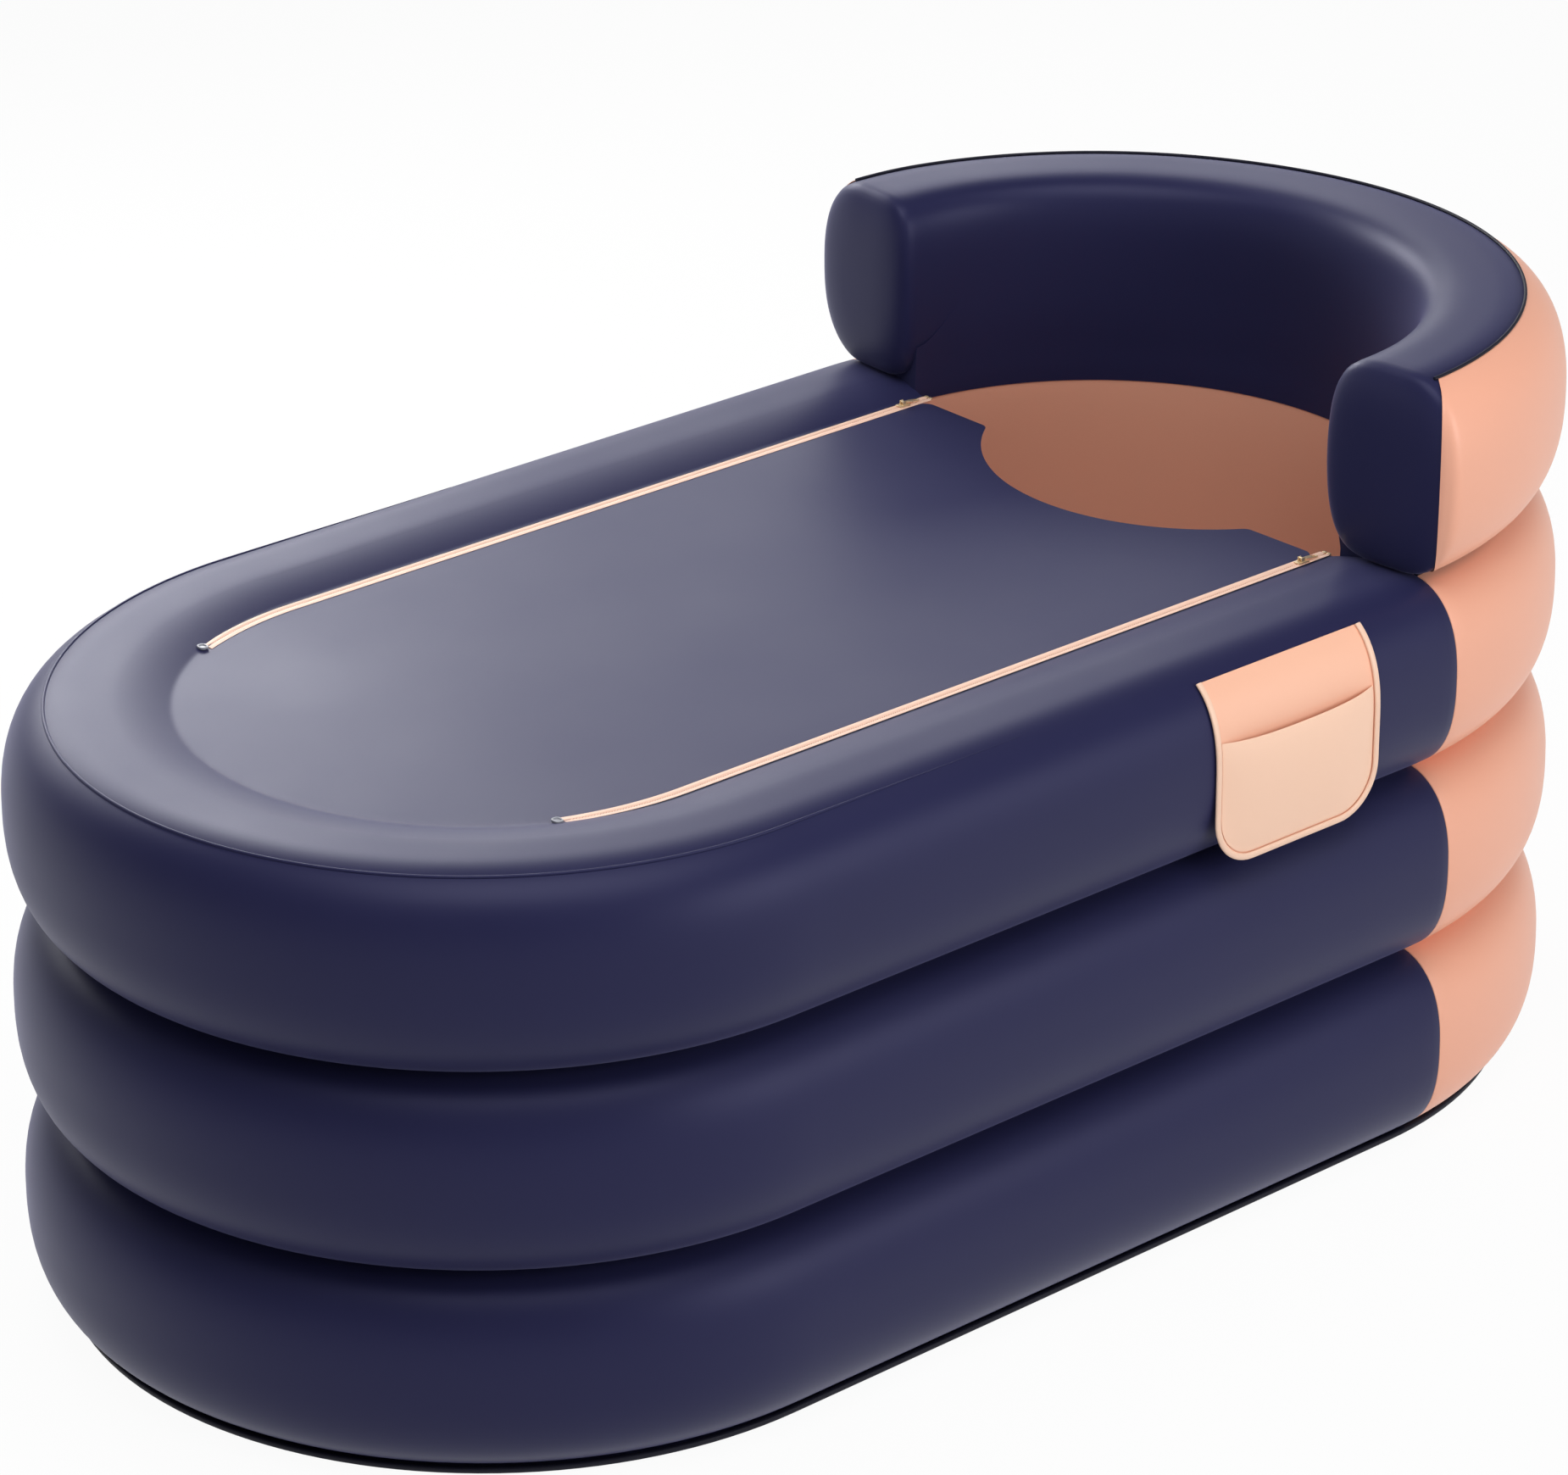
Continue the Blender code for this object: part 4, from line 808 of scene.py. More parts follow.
def border_profile(inner):
    """Radii and heights across the border down to its inner edge, crown first."""
    lean = (abs(BORDER_START) / HALF_THICKNESS) ** WALL_POWER
    start_r = TUBE_RADIUS + BORDER_START
    start_z = ring_mid(2) + RING_HALF * (1 - lean) ** (1 / WALL_POWER) - BORDER_SINK
    first = RING_HALF / abs(BORDER_START) * lean * (1 - lean) ** (1 / WALL_POWER - 1)
    width = start_r - LEVEL_RADIUS
    steep = 1 - LEVEL_ROUND
    last = 2 * (start_z - COVER_Z) / width - first * steep
    dense_part = SLOPE_DENSITY * width
    points = []
    for step in range(BORDER_COLUMNS + 1):
        along = (dense_part + max(LEVEL_RADIUS - inner, 0.0)) * step / BORDER_COLUMNS
        if along < dense_part:
            radius = start_r - along / SLOPE_DENSITY
        else:
            radius = LEVEL_RADIUS - (along - dense_part)
        t = min((start_r - radius) / width, 1.0)
        fall = first * min(t, steep) + (last - first) * min(t, steep) ** 2 / (2 * steep)
        if t > steep:
            rest = (t - steep) / LEVEL_ROUND
            fall += last * LEVEL_ROUND * (rest - rest * rest / 2)
        points.append((radius, start_z - fall * width))
    return points


def border_rows(side):
    """Rows of points across one half of the border, head to foot."""
    rows = []
    for anchor, angle, inner in border_stops():
        line = [spot(anchor, angle, r, z) for r, z in border_profile(inner)]
        rows.append([Vector((p.x, -side * p.y, p.z)) for p in line])
    return rows


border = film_from_rows("cover_border_film", border_rows(-1) + border_rows(1)[-2::-1])
finish_film(border, UP, COVER_SKIN, -1)
dress(border, NAVY_FILM, "tub", "navy_sheet", "cover_border")
border_area = sum(face.area for face in border.data.polygons) / 2
print("border area", round(border_area, 4), "m2")

# %% [markdown]
# ## The cover
#
# The loose cover is one flat film between the zips with a round neck cut at the head. Its outline
# is a single face, bisected into strips, with narrow ones across the fold line, so that it can sag
# a little. It reaches a few millimetres past the fold line, where it meets the border without a
# gap.

# %% Cover sheet
SHOULDER_X = 0.3620
NECK_HALF, NECK_DEPTH, NECK_ROUND = 0.165, 0.088, 0.010
CORNER_RADIUS = 0.012
SAG, SAG_HALF = 0.0012, 0.236


def cover_outline(side):
    """Half of the cover's outline, foot to neck, as (x, y)."""
    end_y = zip_offset(FOLD_X)
    half = [(SEAM_X, -(end_y + ZIP_REACH)), (FOLD_X - FOLD_EDGE, -(end_y + ZIP_REACH)),
            (FOLD_X - FOLD_EDGE, -(end_y - ZIP_REACH))]
    for step in range(15):
        x = FOLD_X + (BEND_X - FOLD_X) * step / 14
        half.append((x, -(zip_offset(x) - ZIP_REACH)))
    edge_y = ZIP_Y - ZIP_REACH
    for step in range(9):
        angle = math.pi / 2 * step / 8
        half.append((SHOULDER_X - CORNER_RADIUS * (1 - math.sin(angle)),
                     CORNER_RADIUS * (1 - math.cos(angle)) - edge_y))
    radius = (NECK_HALF ** 2 + NECK_DEPTH ** 2) / (2 * NECK_DEPTH)
    centre = SHOULDER_X - NECK_DEPTH + radius
    # The neck's corner is rounded by an arc that touches the shoulder edge and the neck circle.
    round_x = SHOULDER_X - NECK_ROUND
    round_y = -math.sqrt((radius + NECK_ROUND) ** 2 - (centre - round_x) ** 2)
    meet = math.atan2(round_y, round_x - centre)
    round_turn = (meet - math.pi) % math.tau
    if round_turn > math.pi:
        round_turn -= math.tau
    for step in range(9):
        angle = round_turn * step / 8
        half.append((round_x + NECK_ROUND * math.cos(angle),
                     round_y + NECK_ROUND * math.sin(angle)))
    start_angle = meet % math.tau
    for step in range(1, 29):
        angle = start_angle + (math.pi - start_angle) * step / 28
        half.append((centre + radius * math.cos(angle), radius * math.sin(angle)))
    return [Vector((x, -side * y)) for x, y in half]


loop = cover_outline(-1) + cover_outline(1)[-2::-1]
deselect_all()
bpy.ops.mesh.primitive_circle_add(vertices=len(loop), radius=0.3, fill_type="NGON")
cover = rename(bpy.context.object, "cover_film")
for vert, (x, y) in zip(cover.data.vertices, loop):
    vert.co = (x, y, COVER_Z)
bpy.ops.object.mode_set(mode="EDIT")
cuts = [FOLD_X + 0.001 * (step - 5) for step in range(1, 14)]
cuts += [FOLD_X + 0.012 + 0.0205 * step for step in range(39)]
for cut in cuts:
    bpy.ops.mesh.select_all(action="SELECT")
    bpy.ops.mesh.bisect(plane_co=(cut, 0.0, COVER_Z), plane_no=(1.0, 0.0, 0.0))
for step in range(-11, 12):
    bpy.ops.mesh.select_all(action="SELECT")
    bpy.ops.mesh.bisect(plane_co=(0.0, 0.021 * step, COVER_Z), plane_no=(0.0, 1.0, 0.0))
bpy.ops.object.mode_set(mode="OBJECT")
for vert in cover.data.vertices:
    across = 1 - min(abs(vert.co.y) / SAG_HALF, 1.0) ** 2
    vert.co.z -= SAG * across * smooth_step(vert.co.x, FOLD_X + 0.01, FOLD_X + 0.30)
cover_area = sum(face.area for face in cover.data.polygons)
finish_film(cover, UP, COVER_SKIN, -1)
dress(cover, NAVY_FILM, None, "navy_sheet", "cover_sheet")
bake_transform(cover)
print("cover area", round(cover_area, 4), "m2")

# %% [markdown]
# ## The zips
#
# Each zip has two bands, one welded to the border and one to the cover. A band is a narrow crowned
# strip, and its teeth are small nubs that reach over the slot, one side's between the other's.
# They are far too small to see singly, so each tooth is only a few faces, copied by an Array. The
# outer strip of the border's band, over its weld, is near black: a painted shadow line along the
# border.

# %% Zip bands with teeth
BAND_TOP, BAND_THICK = 0.5166, 0.0018
BAND_NEAR, BAND_FAR = 0.0006, 0.0046
WELD_AND_SHADE_FROM, WELD_REACH = 0.0050, 0.0064
ZIP_HEAD_X, ZIP_END_X = 0.3690, FOLD_X + FOLD_EDGE
TOOTH_PITCH, TOOTH_SIZE = 0.0024, (0.0010, 0.0013, 0.0008)
TOOTH_COUNT = int((ZIP_HEAD_X - 0.006 - ZIP_END_X) / TOOTH_PITCH)


def bend_along_zip(piece, side):
    for vert in piece.data.vertices:
        vert.co.y += side * (zip_offset(vert.co.x) - ZIP_Y)


def make_band(name, side, outwards):
    """One band of a zip: outwards 1 is the border's, -1 the cover's."""
    low = BAND_TOP - BAND_THICK
    shape = [(BAND_NEAR, low), (BAND_FAR, low), (BAND_FAR, COVER_Z + 0.0001),
             (WELD_REACH, COVER_Z + 0.0002), (WELD_REACH, COVER_Z + 0.0004),
             (WELD_AND_SHADE_FROM, BAND_TOP - 0.0001), (0.0040, BAND_TOP), (0.0014, BAND_TOP),
             (0.0008, BAND_TOP - 0.0004), (BAND_NEAR, BAND_TOP - 0.0008)]
    start = [Vector((ZIP_HEAD_X, side * (ZIP_Y + outwards * y), z)) for y, z in shape]
    band = start_outline(name, start)
    run(BEND_X - ZIP_HEAD_X, 1)
    run(ZIP_END_X - BEND_X, 14)
    close_up(band)

    deselect_all()
    bpy.ops.mesh.primitive_cube_add(size=1.0, scale=TOOTH_SIZE)
    teeth = rename(bpy.context.object, f"{name}_teeth")
    bpy.ops.object.transform_apply(location=False, rotation=False, scale=True)
    shift = TOOTH_PITCH / 2 if outwards > 0 else 0.0
    middle = Vector((ZIP_HEAD_X - 0.0030 - shift, side * (ZIP_Y + outwards * 0.0005),
                     BAND_TOP - 0.0006))
    for vert in teeth.data.vertices:
        vert.co += middle
    row = teeth.modifiers.new("row", "ARRAY")
    row.count = TOOTH_COUNT
    row.use_relative_offset = False
    row.use_constant_offset = True
    row.constant_offset_displace = (-TOOTH_PITCH, 0.0, 0.0)
    apply_all(teeth)
    select_only(band)
    teeth.select_set(True)
    bpy.ops.object.join()
    bend_along_zip(band, side)
    smooth(band, 35)
    return band


for word, side in SIDES:
    border_band = make_band(f"{word}_zip_tub_band", side, 1)
    dress(border_band, ZIP_PEACH, "tub", "pale_peach_trim", f"{word}_zip_tub_tape")
    # The outer strip of the border's band takes the near-black finish: a painted shadow line beside
    # the zip.
    border_band.data.materials.append(DARK_BEAD_AND_SHADE)
    for face in border_band.data.polygons:
        out = abs(face.center.y) - zip_offset(face.center.x)
        face.material_index = int(out > WELD_AND_SHADE_FROM)
    cover_band = make_band(f"{word}_zip_cover_band", side, -1)
    dress(cover_band, ZIP_PEACH, "cover", "pale_peach_trim", f"{word}_zip_cover_tape")
print("teeth on each band:", TOOTH_COUNT)

# %% [markdown]
# ### Sliders, pull tabs and stops
#
# A slider grips the cover's band between two plates, and its pull tab hangs on a pin between two
# ears. A metal clamp ends each band at the head, and a grey cup holds both bands at the foot.

# %% Helpers for small parts
def rounded_box(name, low, high, rim, segments=3):
    """A cube stretched between two corners with every edge bevelled."""
    deselect_all()
    size = Vector(high) - Vector(low)
    bpy.ops.mesh.primitive_cube_add(size=1.0, location=(Vector(low) + Vector(high)) / 2, scale=size)
    box = rename(bpy.context.object, name)
    bpy.ops.object.transform_apply(location=True, rotation=True, scale=True)
    bpy.ops.object.mode_set(mode="EDIT")
    bpy.ops.mesh.select_all(action="SELECT")
    bpy.ops.mesh.bevel(offset=rim, segments=segments, affect="EDGES")
    bpy.ops.object.mode_set(mode="OBJECT")
    return box


def join(first, *others):
    select_only(first)
    for other in others:
        other.select_set(True)
    bpy.ops.object.join()
    return first


def soften(piece, width, segments, sharp_degrees):
    """Bevels the sharp edges of a finished shape."""
    rim = piece.modifiers.new("rim", "BEVEL")
    rim.width = width
    rim.segments = segments
    rim.limit_method = "ANGLE"
    rim.angle_limit = math.radians(sharp_degrees)
    return apply_all(piece)


# %% Sliders and pull tabs
SLIDER_X, SLIDER_HALF, SLIDER_SIDE = 0.3390, 0.0060, 0.0050
PLATE_LOW, PLATE_HIGH = BAND_TOP + 0.0003, BAND_TOP + 0.0015
UNDER_HIGH = BAND_TOP - BAND_THICK - 0.0003
PIN_Z = PLATE_HIGH + 0.0022
EAR_IN, EAR_OUT = 0.0016, 0.0026
WEB_HALF = 0.00025
TAB_START, TAB_LENGTH, TAB_SKIN = 0.0014, 0.0200, 0.0010
TAB_HALF, TAB_NECK, KNUCKLE_WIRE = 0.0025, 0.0013, 0.00033


def make_slider(name, side):
    """A slider: tapered top plate, web, lower plate under the cover's band, two ears and a pin."""
    y = side * ZIP_Y
    plate = rounded_box(name, (SLIDER_X - SLIDER_HALF, y - SLIDER_SIDE, PLATE_LOW),
                        (SLIDER_X + SLIDER_HALF, y + SLIDER_SIDE, PLATE_HIGH), 0.0004)
    for vert in plate.data.vertices:
        along = (vert.co.x - SLIDER_X) / SLIDER_HALF
        narrow = 1 - 0.28 * smooth_step(-along, 0.1, 1.0) - 0.10 * smooth_step(along, 0.5, 1.0)
        vert.co.y = y + (vert.co.y - y) * narrow
    web = rounded_box("web", (SLIDER_X - 0.0030, y - WEB_HALF, UNDER_HIGH - 0.0003),
                      (SLIDER_X + 0.0030, y + WEB_HALF, PLATE_LOW + 0.0003), 0.0001, 1)
    inner = sorted((y + side * WEB_HALF, y - side * 0.0040))
    lower = rounded_box("lower plate", (SLIDER_X - SLIDER_HALF, inner[0], UNDER_HIGH - 0.0012),
                        (SLIDER_X + SLIDER_HALF, inner[1], UNDER_HIGH), 0.0003)
    ears = []
    for way in (-1, 1):
        across = sorted((y + way * EAR_IN, y + way * EAR_OUT))
        ears.append(rounded_box("ear", (SLIDER_X - 0.0020, across[0], PLATE_HIGH - 0.0003),
                                (SLIDER_X + 0.0020, across[1], PLATE_HIGH + 0.0036), 0.00035))
    deselect_all()
    bpy.ops.mesh.primitive_cylinder_add(vertices=20, radius=0.0006, depth=0.0046,
                                        location=(SLIDER_X, y, PIN_Z), rotation=(math.pi / 2, 0, 0))
    pin = bpy.context.object
    bpy.ops.object.transform_apply(location=True, rotation=True, scale=True)
    join(plate, web, lower, pin, *ears)
    return smooth(plate, 40)


def make_pull_tab(name, side):
    """A pull tab: a drop-shaped leaf with a slot near its end, hung on a knuckle round the pin."""
    y = side * ZIP_Y
    outer, inner = [], []
    for step in range(40):
        angle = math.tau * step / 40
        along = (1 - math.cos(angle)) / 2
        wide = TAB_NECK + (TAB_HALF - TAB_NECK) * smooth_step(along, 0.12, 0.55)
        edge = superellipse(angle, 1.0, 1.0, 3.0)
        reach = TAB_START + (TAB_LENGTH - TAB_START) * (1 - edge.x) / 2
        outer.append(Vector((reach, edge.y * wide, 0.0)))
        hole = superellipse(angle, 1.0, 1.0, 2.2)
        inner.append(Vector((0.0152 - hole.x * 0.0028, hole.y * 0.0011, 0.0)))
    leaf = start_outline(name, outer)
    join(leaf, start_outline("slot", inner))
    bpy.ops.object.mode_set(mode="EDIT")
    bpy.ops.mesh.select_all(action="SELECT")
    bpy.ops.mesh.bridge_edge_loops()
    thicken(leaf, TAB_SKIN, 0)
    soften(leaf, 0.00025, 2, 60)
    droop = math.asin((PIN_Z - BAND_TOP - 0.0003 - TAB_SKIN / 2) / TAB_LENGTH)
    leaf.data.transform(Matrix.Translation((SLIDER_X, y, PIN_Z)) @ Matrix.Rotation(droop, 4, "Y"))
    deselect_all()
    bpy.ops.mesh.primitive_torus_add(major_segments=24, minor_segments=8, major_radius=0.00115,
                                     minor_radius=KNUCKLE_WIRE, location=(SLIDER_X, y, PIN_Z),
                                     rotation=(math.pi / 2, 0.0, 0.0))
    knuckle = bpy.context.object
    bpy.ops.object.transform_apply(location=True, rotation=True, scale=True)
    for vert in knuckle.data.vertices:
        vert.co.y = y + (vert.co.y - y) * TAB_NECK / KNUCKLE_WIRE
    join(leaf, knuckle)
    return smooth(leaf, 45)


for word, side in SIDES:
    slider = make_slider(f"{word}_zip_runner", side)
    dress(slider, GOLD, f"{word}_slider", "brass", f"{word}_slider")
    tab = make_pull_tab(f"{word}_zip_pull", side)
    dress(tab, GOLD, f"{word}_pull_tab", "brass", f"{word}_pull_tab")

# %% Stops at both ends of the zips
HEAD_STOP_X, HEAD_STOP_LONG = ZIP_HEAD_X + 0.0003, 0.0030
CUP_LONG, CUP_WIDE, CUP_ASIDE = 0.0042, 0.0049, 0.0004
for word, side in SIDES:
    for body, way in (("tub", 1), ("cover", -1)):
        across = sorted(side * (ZIP_Y + way * edge) for edge in (BAND_NEAR, BAND_FAR))
        clamp = rounded_box(
            f"{word}_{body}_head_clamp", (HEAD_STOP_X, across[0], BAND_TOP - BAND_THICK),
            (HEAD_STOP_X + HEAD_STOP_LONG, across[1], BAND_TOP + 0.0006), 0.0007)
        smooth(clamp, 40)
        dress(clamp, GOLD, body, "brass", f"{word}_zip_{body}_head_stop")

    middle = side * (zip_offset(FOLD_X) - CUP_ASIDE)
    cup_x = FOLD_X - FOLD_EDGE - CUP_LONG
    cup = start_outline(f"{word}_zip_end_cup", [
        Vector((cup_x + u, middle + v, COVER_Z + 0.0007))
        for u, v in oval_points(CUP_LONG, CUP_WIDE, 2.6, 40)])
    bpy.ops.mesh.edge_face_add()
    extrude((0.0, 0.0, 0.0022))
    bpy.ops.mesh.inset(thickness=0.0016, depth=0.0)
    extrude((0.0, 0.0, -0.0010))
    bpy.ops.mesh.inset(thickness=0.0008, depth=0.0)
    bpy.ops.mesh.select_all(action="SELECT")
    bpy.ops.mesh.normals_make_consistent(inside=False)
    smooth(soften(cup, 0.0005, 3, 50), 40)
    dress(cup, GREY_PLASTIC, "tub", "grey_plastic", f"{word}_zip_foot_stop")

# %% [markdown]
# ## The pocket
#
# The pocket hangs on the upper ring: a back panel welded along its top, a pouch on it with an open
# mouth, and a flat light binding along three sides. All three follow the ring's bulge down to its
# widest line and then hang straight, so they share one formula for where the film lies. The pouch
# stands off from the back panel most at its mouth and lies flat on it along its edges.

# %% Where the pocket's film lies
POCKET_X, POCKET_HALF = 0.184, 0.094
POCKET_TOP_Z, POCKET_FOOT_Z, POCKET_CORNER = 0.5152, 0.3585, 0.042
POCKET_SKIN, SLOPE_STEP = 0.0006, 0.0002
BACK_LIFT, POUCH_LIFT = 0.0003, 0.0012


def ring_radius(z):
    """Outer radius of the upper ring at a height."""
    share = min(abs(z - ring_mid(2)) / RING_HALF, 1.0)
    return TUBE_RADIUS + HALF_THICKNESS * (1 - share ** OUTER_POWER) ** (1 / OUTER_POWER)


def pocket_foot(x, half=POCKET_HALF, corner=POCKET_CORNER, foot=POCKET_FOOT_Z):
    """Height of a lower edge with rounded corners."""
    inside = half - abs(x - POCKET_X)
    if inside >= corner:
        return foot
    return foot + corner - math.sqrt(max(corner ** 2 - (corner - inside) ** 2, 0.0))


def hanging_line(top_z, foot_z, lift, count):
    """Points down the ring's bulge and then straight down, as (distance from the middle, z)."""
    dense = []
    for step in range(241):
        z = top_z + (foot_z - top_z) * step / 240
        low_z = max(z, ring_mid(2))
        radius = ring_radius(low_z)
        above = ring_radius(min(low_z + SLOPE_STEP, POCKET_TOP_Z + 10 * SLOPE_STEP))
        slope = (above - radius) / SLOPE_STEP
        lean = 1 / math.hypot(1.0, slope)
        dense.append(Vector((radius + lift * lean, z - lift * slope * lean)))
    return evenly(dense, count, closed=False)


def rounded_columns(half, count):
    """X places across the pocket, closer together at its corners."""
    return [POCKET_X - half * math.cos(math.pi * step / count) for step in range(count + 1)]


# %% Pocket panel, pouch and binding
rows = []
for x in rounded_columns(POCKET_HALF, 44):
    line = hanging_line(POCKET_TOP_Z, pocket_foot(x), BACK_LIFT, 40)
    rows.append([Vector((x, -p.x, p.y)) for p in line])
back_panel = finish_film(film_from_rows("pocket_back", rows), OUT, POCKET_SKIN, 1)
dress(back_panel, POCKET_PEACH, "tub", "peach_sheet", "pocket_back_panel")

POUCH_HALF, POUCH_FOOT_Z, POUCH_CORNER, POUCH_POINTS = 0.0895, 0.3627, 0.038, 36
MOUTH_Z, MOUTH_SAG, PUFF = 0.4690, 0.0030, 0.0084
rows = []
for x in rounded_columns(POUCH_HALF, 44):
    across = 1 - (abs(x - POCKET_X) / POUCH_HALF) ** 4
    mouth = MOUTH_Z - MOUTH_SAG * (1 - ((x - POCKET_X) / POUCH_HALF) ** 2)
    foot = pocket_foot(x, POUCH_HALF, POUCH_CORNER, POUCH_FOOT_Z)
    line = hanging_line(mouth, foot, POUCH_LIFT, POUCH_POINTS)
    row = []
    for index, p in enumerate(line):
        down = index / (POUCH_POINTS - 1)
        swell = math.sin(math.pi * min(down * 0.68 + 0.32, 1.0)) ** 0.8 if down < 1 else 0.0
        row.append(Vector((x, -p.x - PUFF * across * swell, p.y)))
    rows.append(row)
pouch = finish_film(film_from_rows("pocket_front", rows), OUT, POCKET_SKIN, 1)
dress(pouch, POUCH_PEACH, "tub", "peach_sheet", "pocket_pouch")

BIND_HALF, BIND_RISE = 0.0030, 0.0016
side_line = hanging_line(POCKET_TOP_Z - 0.0004, POCKET_FOOT_Z + POCKET_CORNER, POUCH_LIFT, 40)
path = [Vector((POCKET_X - POCKET_HALF, -p.x, p.y)) for p in side_line]
hang_y = path[-1].y
for step in range(1, 13):
    angle = math.pi / 2 * step / 12
    path.append(Vector((POCKET_X - POCKET_HALF + POCKET_CORNER * (1 - math.cos(angle)), hang_y,
                        POCKET_FOOT_Z + POCKET_CORNER * (1 - math.sin(angle)))))
corner_end = path[-1]
for step in range(1, 9):
    path.append(corner_end.lerp(Vector((POCKET_X, hang_y, POCKET_FOOT_Z)), step / 8))
path += [Vector((2 * POCKET_X - p.x, p.y, p.z)) for p in reversed(path[:-1])]
bind_outline = oval_points(BIND_HALF, BIND_RISE, 2.3, 16)
bind_outline.append(bind_outline[0])
rings = []
for index, point in enumerate(path):
    along = (path[min(index + 1, len(path) - 1)] - path[max(index - 1, 0)]).normalized()
    across = along.cross(OUT).normalized()
    out = across.cross(along).normalized()
    rings.append([point + across * u + out * (v + 0.0010) for u, v in bind_outline])
binding = film_from_rows("pocket_edge_binding", rings)
bpy.ops.object.mode_set(mode="EDIT")
close_up(binding)
dress(binding, PALE_PEACH, "tub", "pale_peach_trim", "pocket_binding")
print("pocket from x", round(POCKET_X - POCKET_HALF, 3), "to", round(POCKET_X + POCKET_HALF, 3))

# %% [markdown]
# ## The air valves
#
# Each chamber is filled through a valve at the head end, and the air floor through one inside the
# well. All are turned parts: a half outline is spun round its own axis. The neck has a flange that
# is welded to the film, the cap is held by a strap, and a rubber flap closes the bore from inside.
# The film gets a hole that ends inside the neck's wall, and behind it there is room for the flap.


# %% Turned parts
def facing(origin, axis, up):
    """The place whose local Z is axis and local Y is up."""
    across = up.cross(axis)
    return Matrix.Translation(origin) @ Matrix((across, up, axis)).transposed().to_4x4()


def lathe(name, outline, closed, steps=48):
    """Spins (radius, height) points round the local Z axis."""
    piece = start_outline(name, [Vector((r, 0.0, z)) for r, z in outline], closed)
    bpy.ops.mesh.spin(steps=steps, angle=math.tau, center=(0.0, 0.0, 0.0), axis=(0.0, 0.0, 1.0))
    bpy.ops.mesh.select_all(action="SELECT")
    bpy.ops.mesh.remove_doubles(threshold=0.000005)
    bpy.ops.mesh.normals_make_consistent(inside=False)
    bpy.ops.object.mode_set(mode="OBJECT")
    return piece


def copy_to(piece, name, place):
    """A copy with its own mesh, moved to a place."""
    twin = piece.copy()
    twin.data = piece.data.copy()
    bpy.context.collection.objects.link(twin)
    rename(twin, name)
    twin.data.transform(place)
    return smooth(twin, 40)


def cut_out(cutter, *names):
    """Cuts the room of a bore out of the pieces that it passes through."""
    for name in names:
        holed = bpy.data.objects[name]
        hole = holed.modifiers.new("hole", "BOOLEAN")
        hole.operation = "DIFFERENCE"
        hole.object = cutter
        smooth(apply_all(holed))
        print(name, "has", len(holed.data.polygons), "faces after its hole")
    bpy.data.objects.remove(cutter, do_unlink=True)


neck_model = lathe("neck_model", [
    (0.0090, -0.0110), (0.0112, -0.0110), (0.0112, 0.0003), (0.0176, 0.0003), (0.0185, 0.0006),
    (0.0185, 0.0012), (0.0179, 0.0017), (0.0150, 0.0018), (0.0145, 0.0015), (0.0140, 0.0018),
    (0.0119, 0.0018), (0.0112, 0.0024), (0.0112, 0.0035), (0.0109, 0.0038), (0.0093, 0.0038),
    (0.0090, 0.0035)], closed=True)
post = rounded_box("post", (-0.0030, 0.0148, 0.0012), (0.0030, 0.0172, 0.0046), 0.0004)
join(neck_model, post)

cap_model = lathe("cap_model", [
    (0.0, 0.0007), (0.0078, 0.0007), (0.0085, 0.0013), (0.0085, 0.0041), (0.0119, 0.0041),
    (0.0124, 0.0044), (0.0124, 0.0055), (0.0119, 0.0059), (0.0100, 0.0059), (0.0094, 0.0053),
    (0.0030, 0.0052), (0.0, 0.0052)], closed=False)
strap = rounded_box("strap", (-0.0030, 0.0112, 0.0049), (0.0030, 0.0165, 0.0059), 0.0003)
lip = rounded_box("lip", (-0.0035, -0.0126, 0.0046), (0.0035, -0.0112, 0.0059), 0.0004)
join(cap_model, strap, lip)

flap_model = lathe("flap_model", [
    (0.0, -0.0113), (0.0108, -0.0113), (0.0112, -0.0116), (0.0112, -0.0120), (0.0108, -0.0123),
    (0.0, -0.0123)], closed=False)

room_model = lathe("room_model", [
    (0.0, 0.0100), (0.0101, 0.0100), (0.0101, -0.0100), (0.0135, -0.0100), (0.0135, -0.0340),
    (0.0, -0.0340)], closed=False)

# %% Air valves in their places
valve_places = {name: facing(Vector((0.74736, 0.0, ring_mid(level))), BACK, UP)
                for level, name in enumerate(RINGS)}
valve_places["backrest"] = facing(Vector((0.74815, 0.0, BACK_MID)), BACK, UP)
valve_places["floor"] = facing(Vector((-0.24, 0.0, 0.0463)), UP, -BACK)
valve_films = {name: (f"{name}_rear_tube",) for name in RINGS}
valve_films["backrest"] = ("backrest_bolster", "backrest_panel")
valve_films["floor"] = ("air_floor",)
valve_parts = (("neck", neck_model, VALVE_PVC, "valve_white"),
               ("cap", cap_model, VALVE_PVC, "valve_white"),
               ("flap", flap_model, SILICONE, "silicone"))
for name, place in valve_places.items():
    for part, model, material, slot in valve_parts:
        body = "tub" if part == "neck" else f"{name}_{part}"
        piece = copy_to(model, f"{name}_air_{part}", place)
        dress(piece, material, body, slot, f"{name}_valve_{part}")
    cut_out(copy_to(room_model, f"{name}_room", place), *valve_films[name])
for model in (neck_model, cap_model, flap_model, room_model):
    bpy.data.objects.remove(model, do_unlink=True)
print("valves:", ", ".join(valve_places))

# %% [markdown]
# ## The drain
#
# A duct runs through the lowest ring on the far side. Outside it has a flange and a screw cap with
# grip ribs, inside a collar and a rubber stopper with a finger grip. Ring and lining are cut where
# the duct passes through them.

# %% Drain
drain_place = facing(Vector((-0.23, OUTER_RADIUS, ring_mid(0))), Vector((0.0, 1.0, 0.0)), UP)


def drain_part(model, material, body, slot, *nodes):
    model.data.transform(drain_place)
    smooth(model, 40)
    return dress(model, material, body, slot, *nodes)


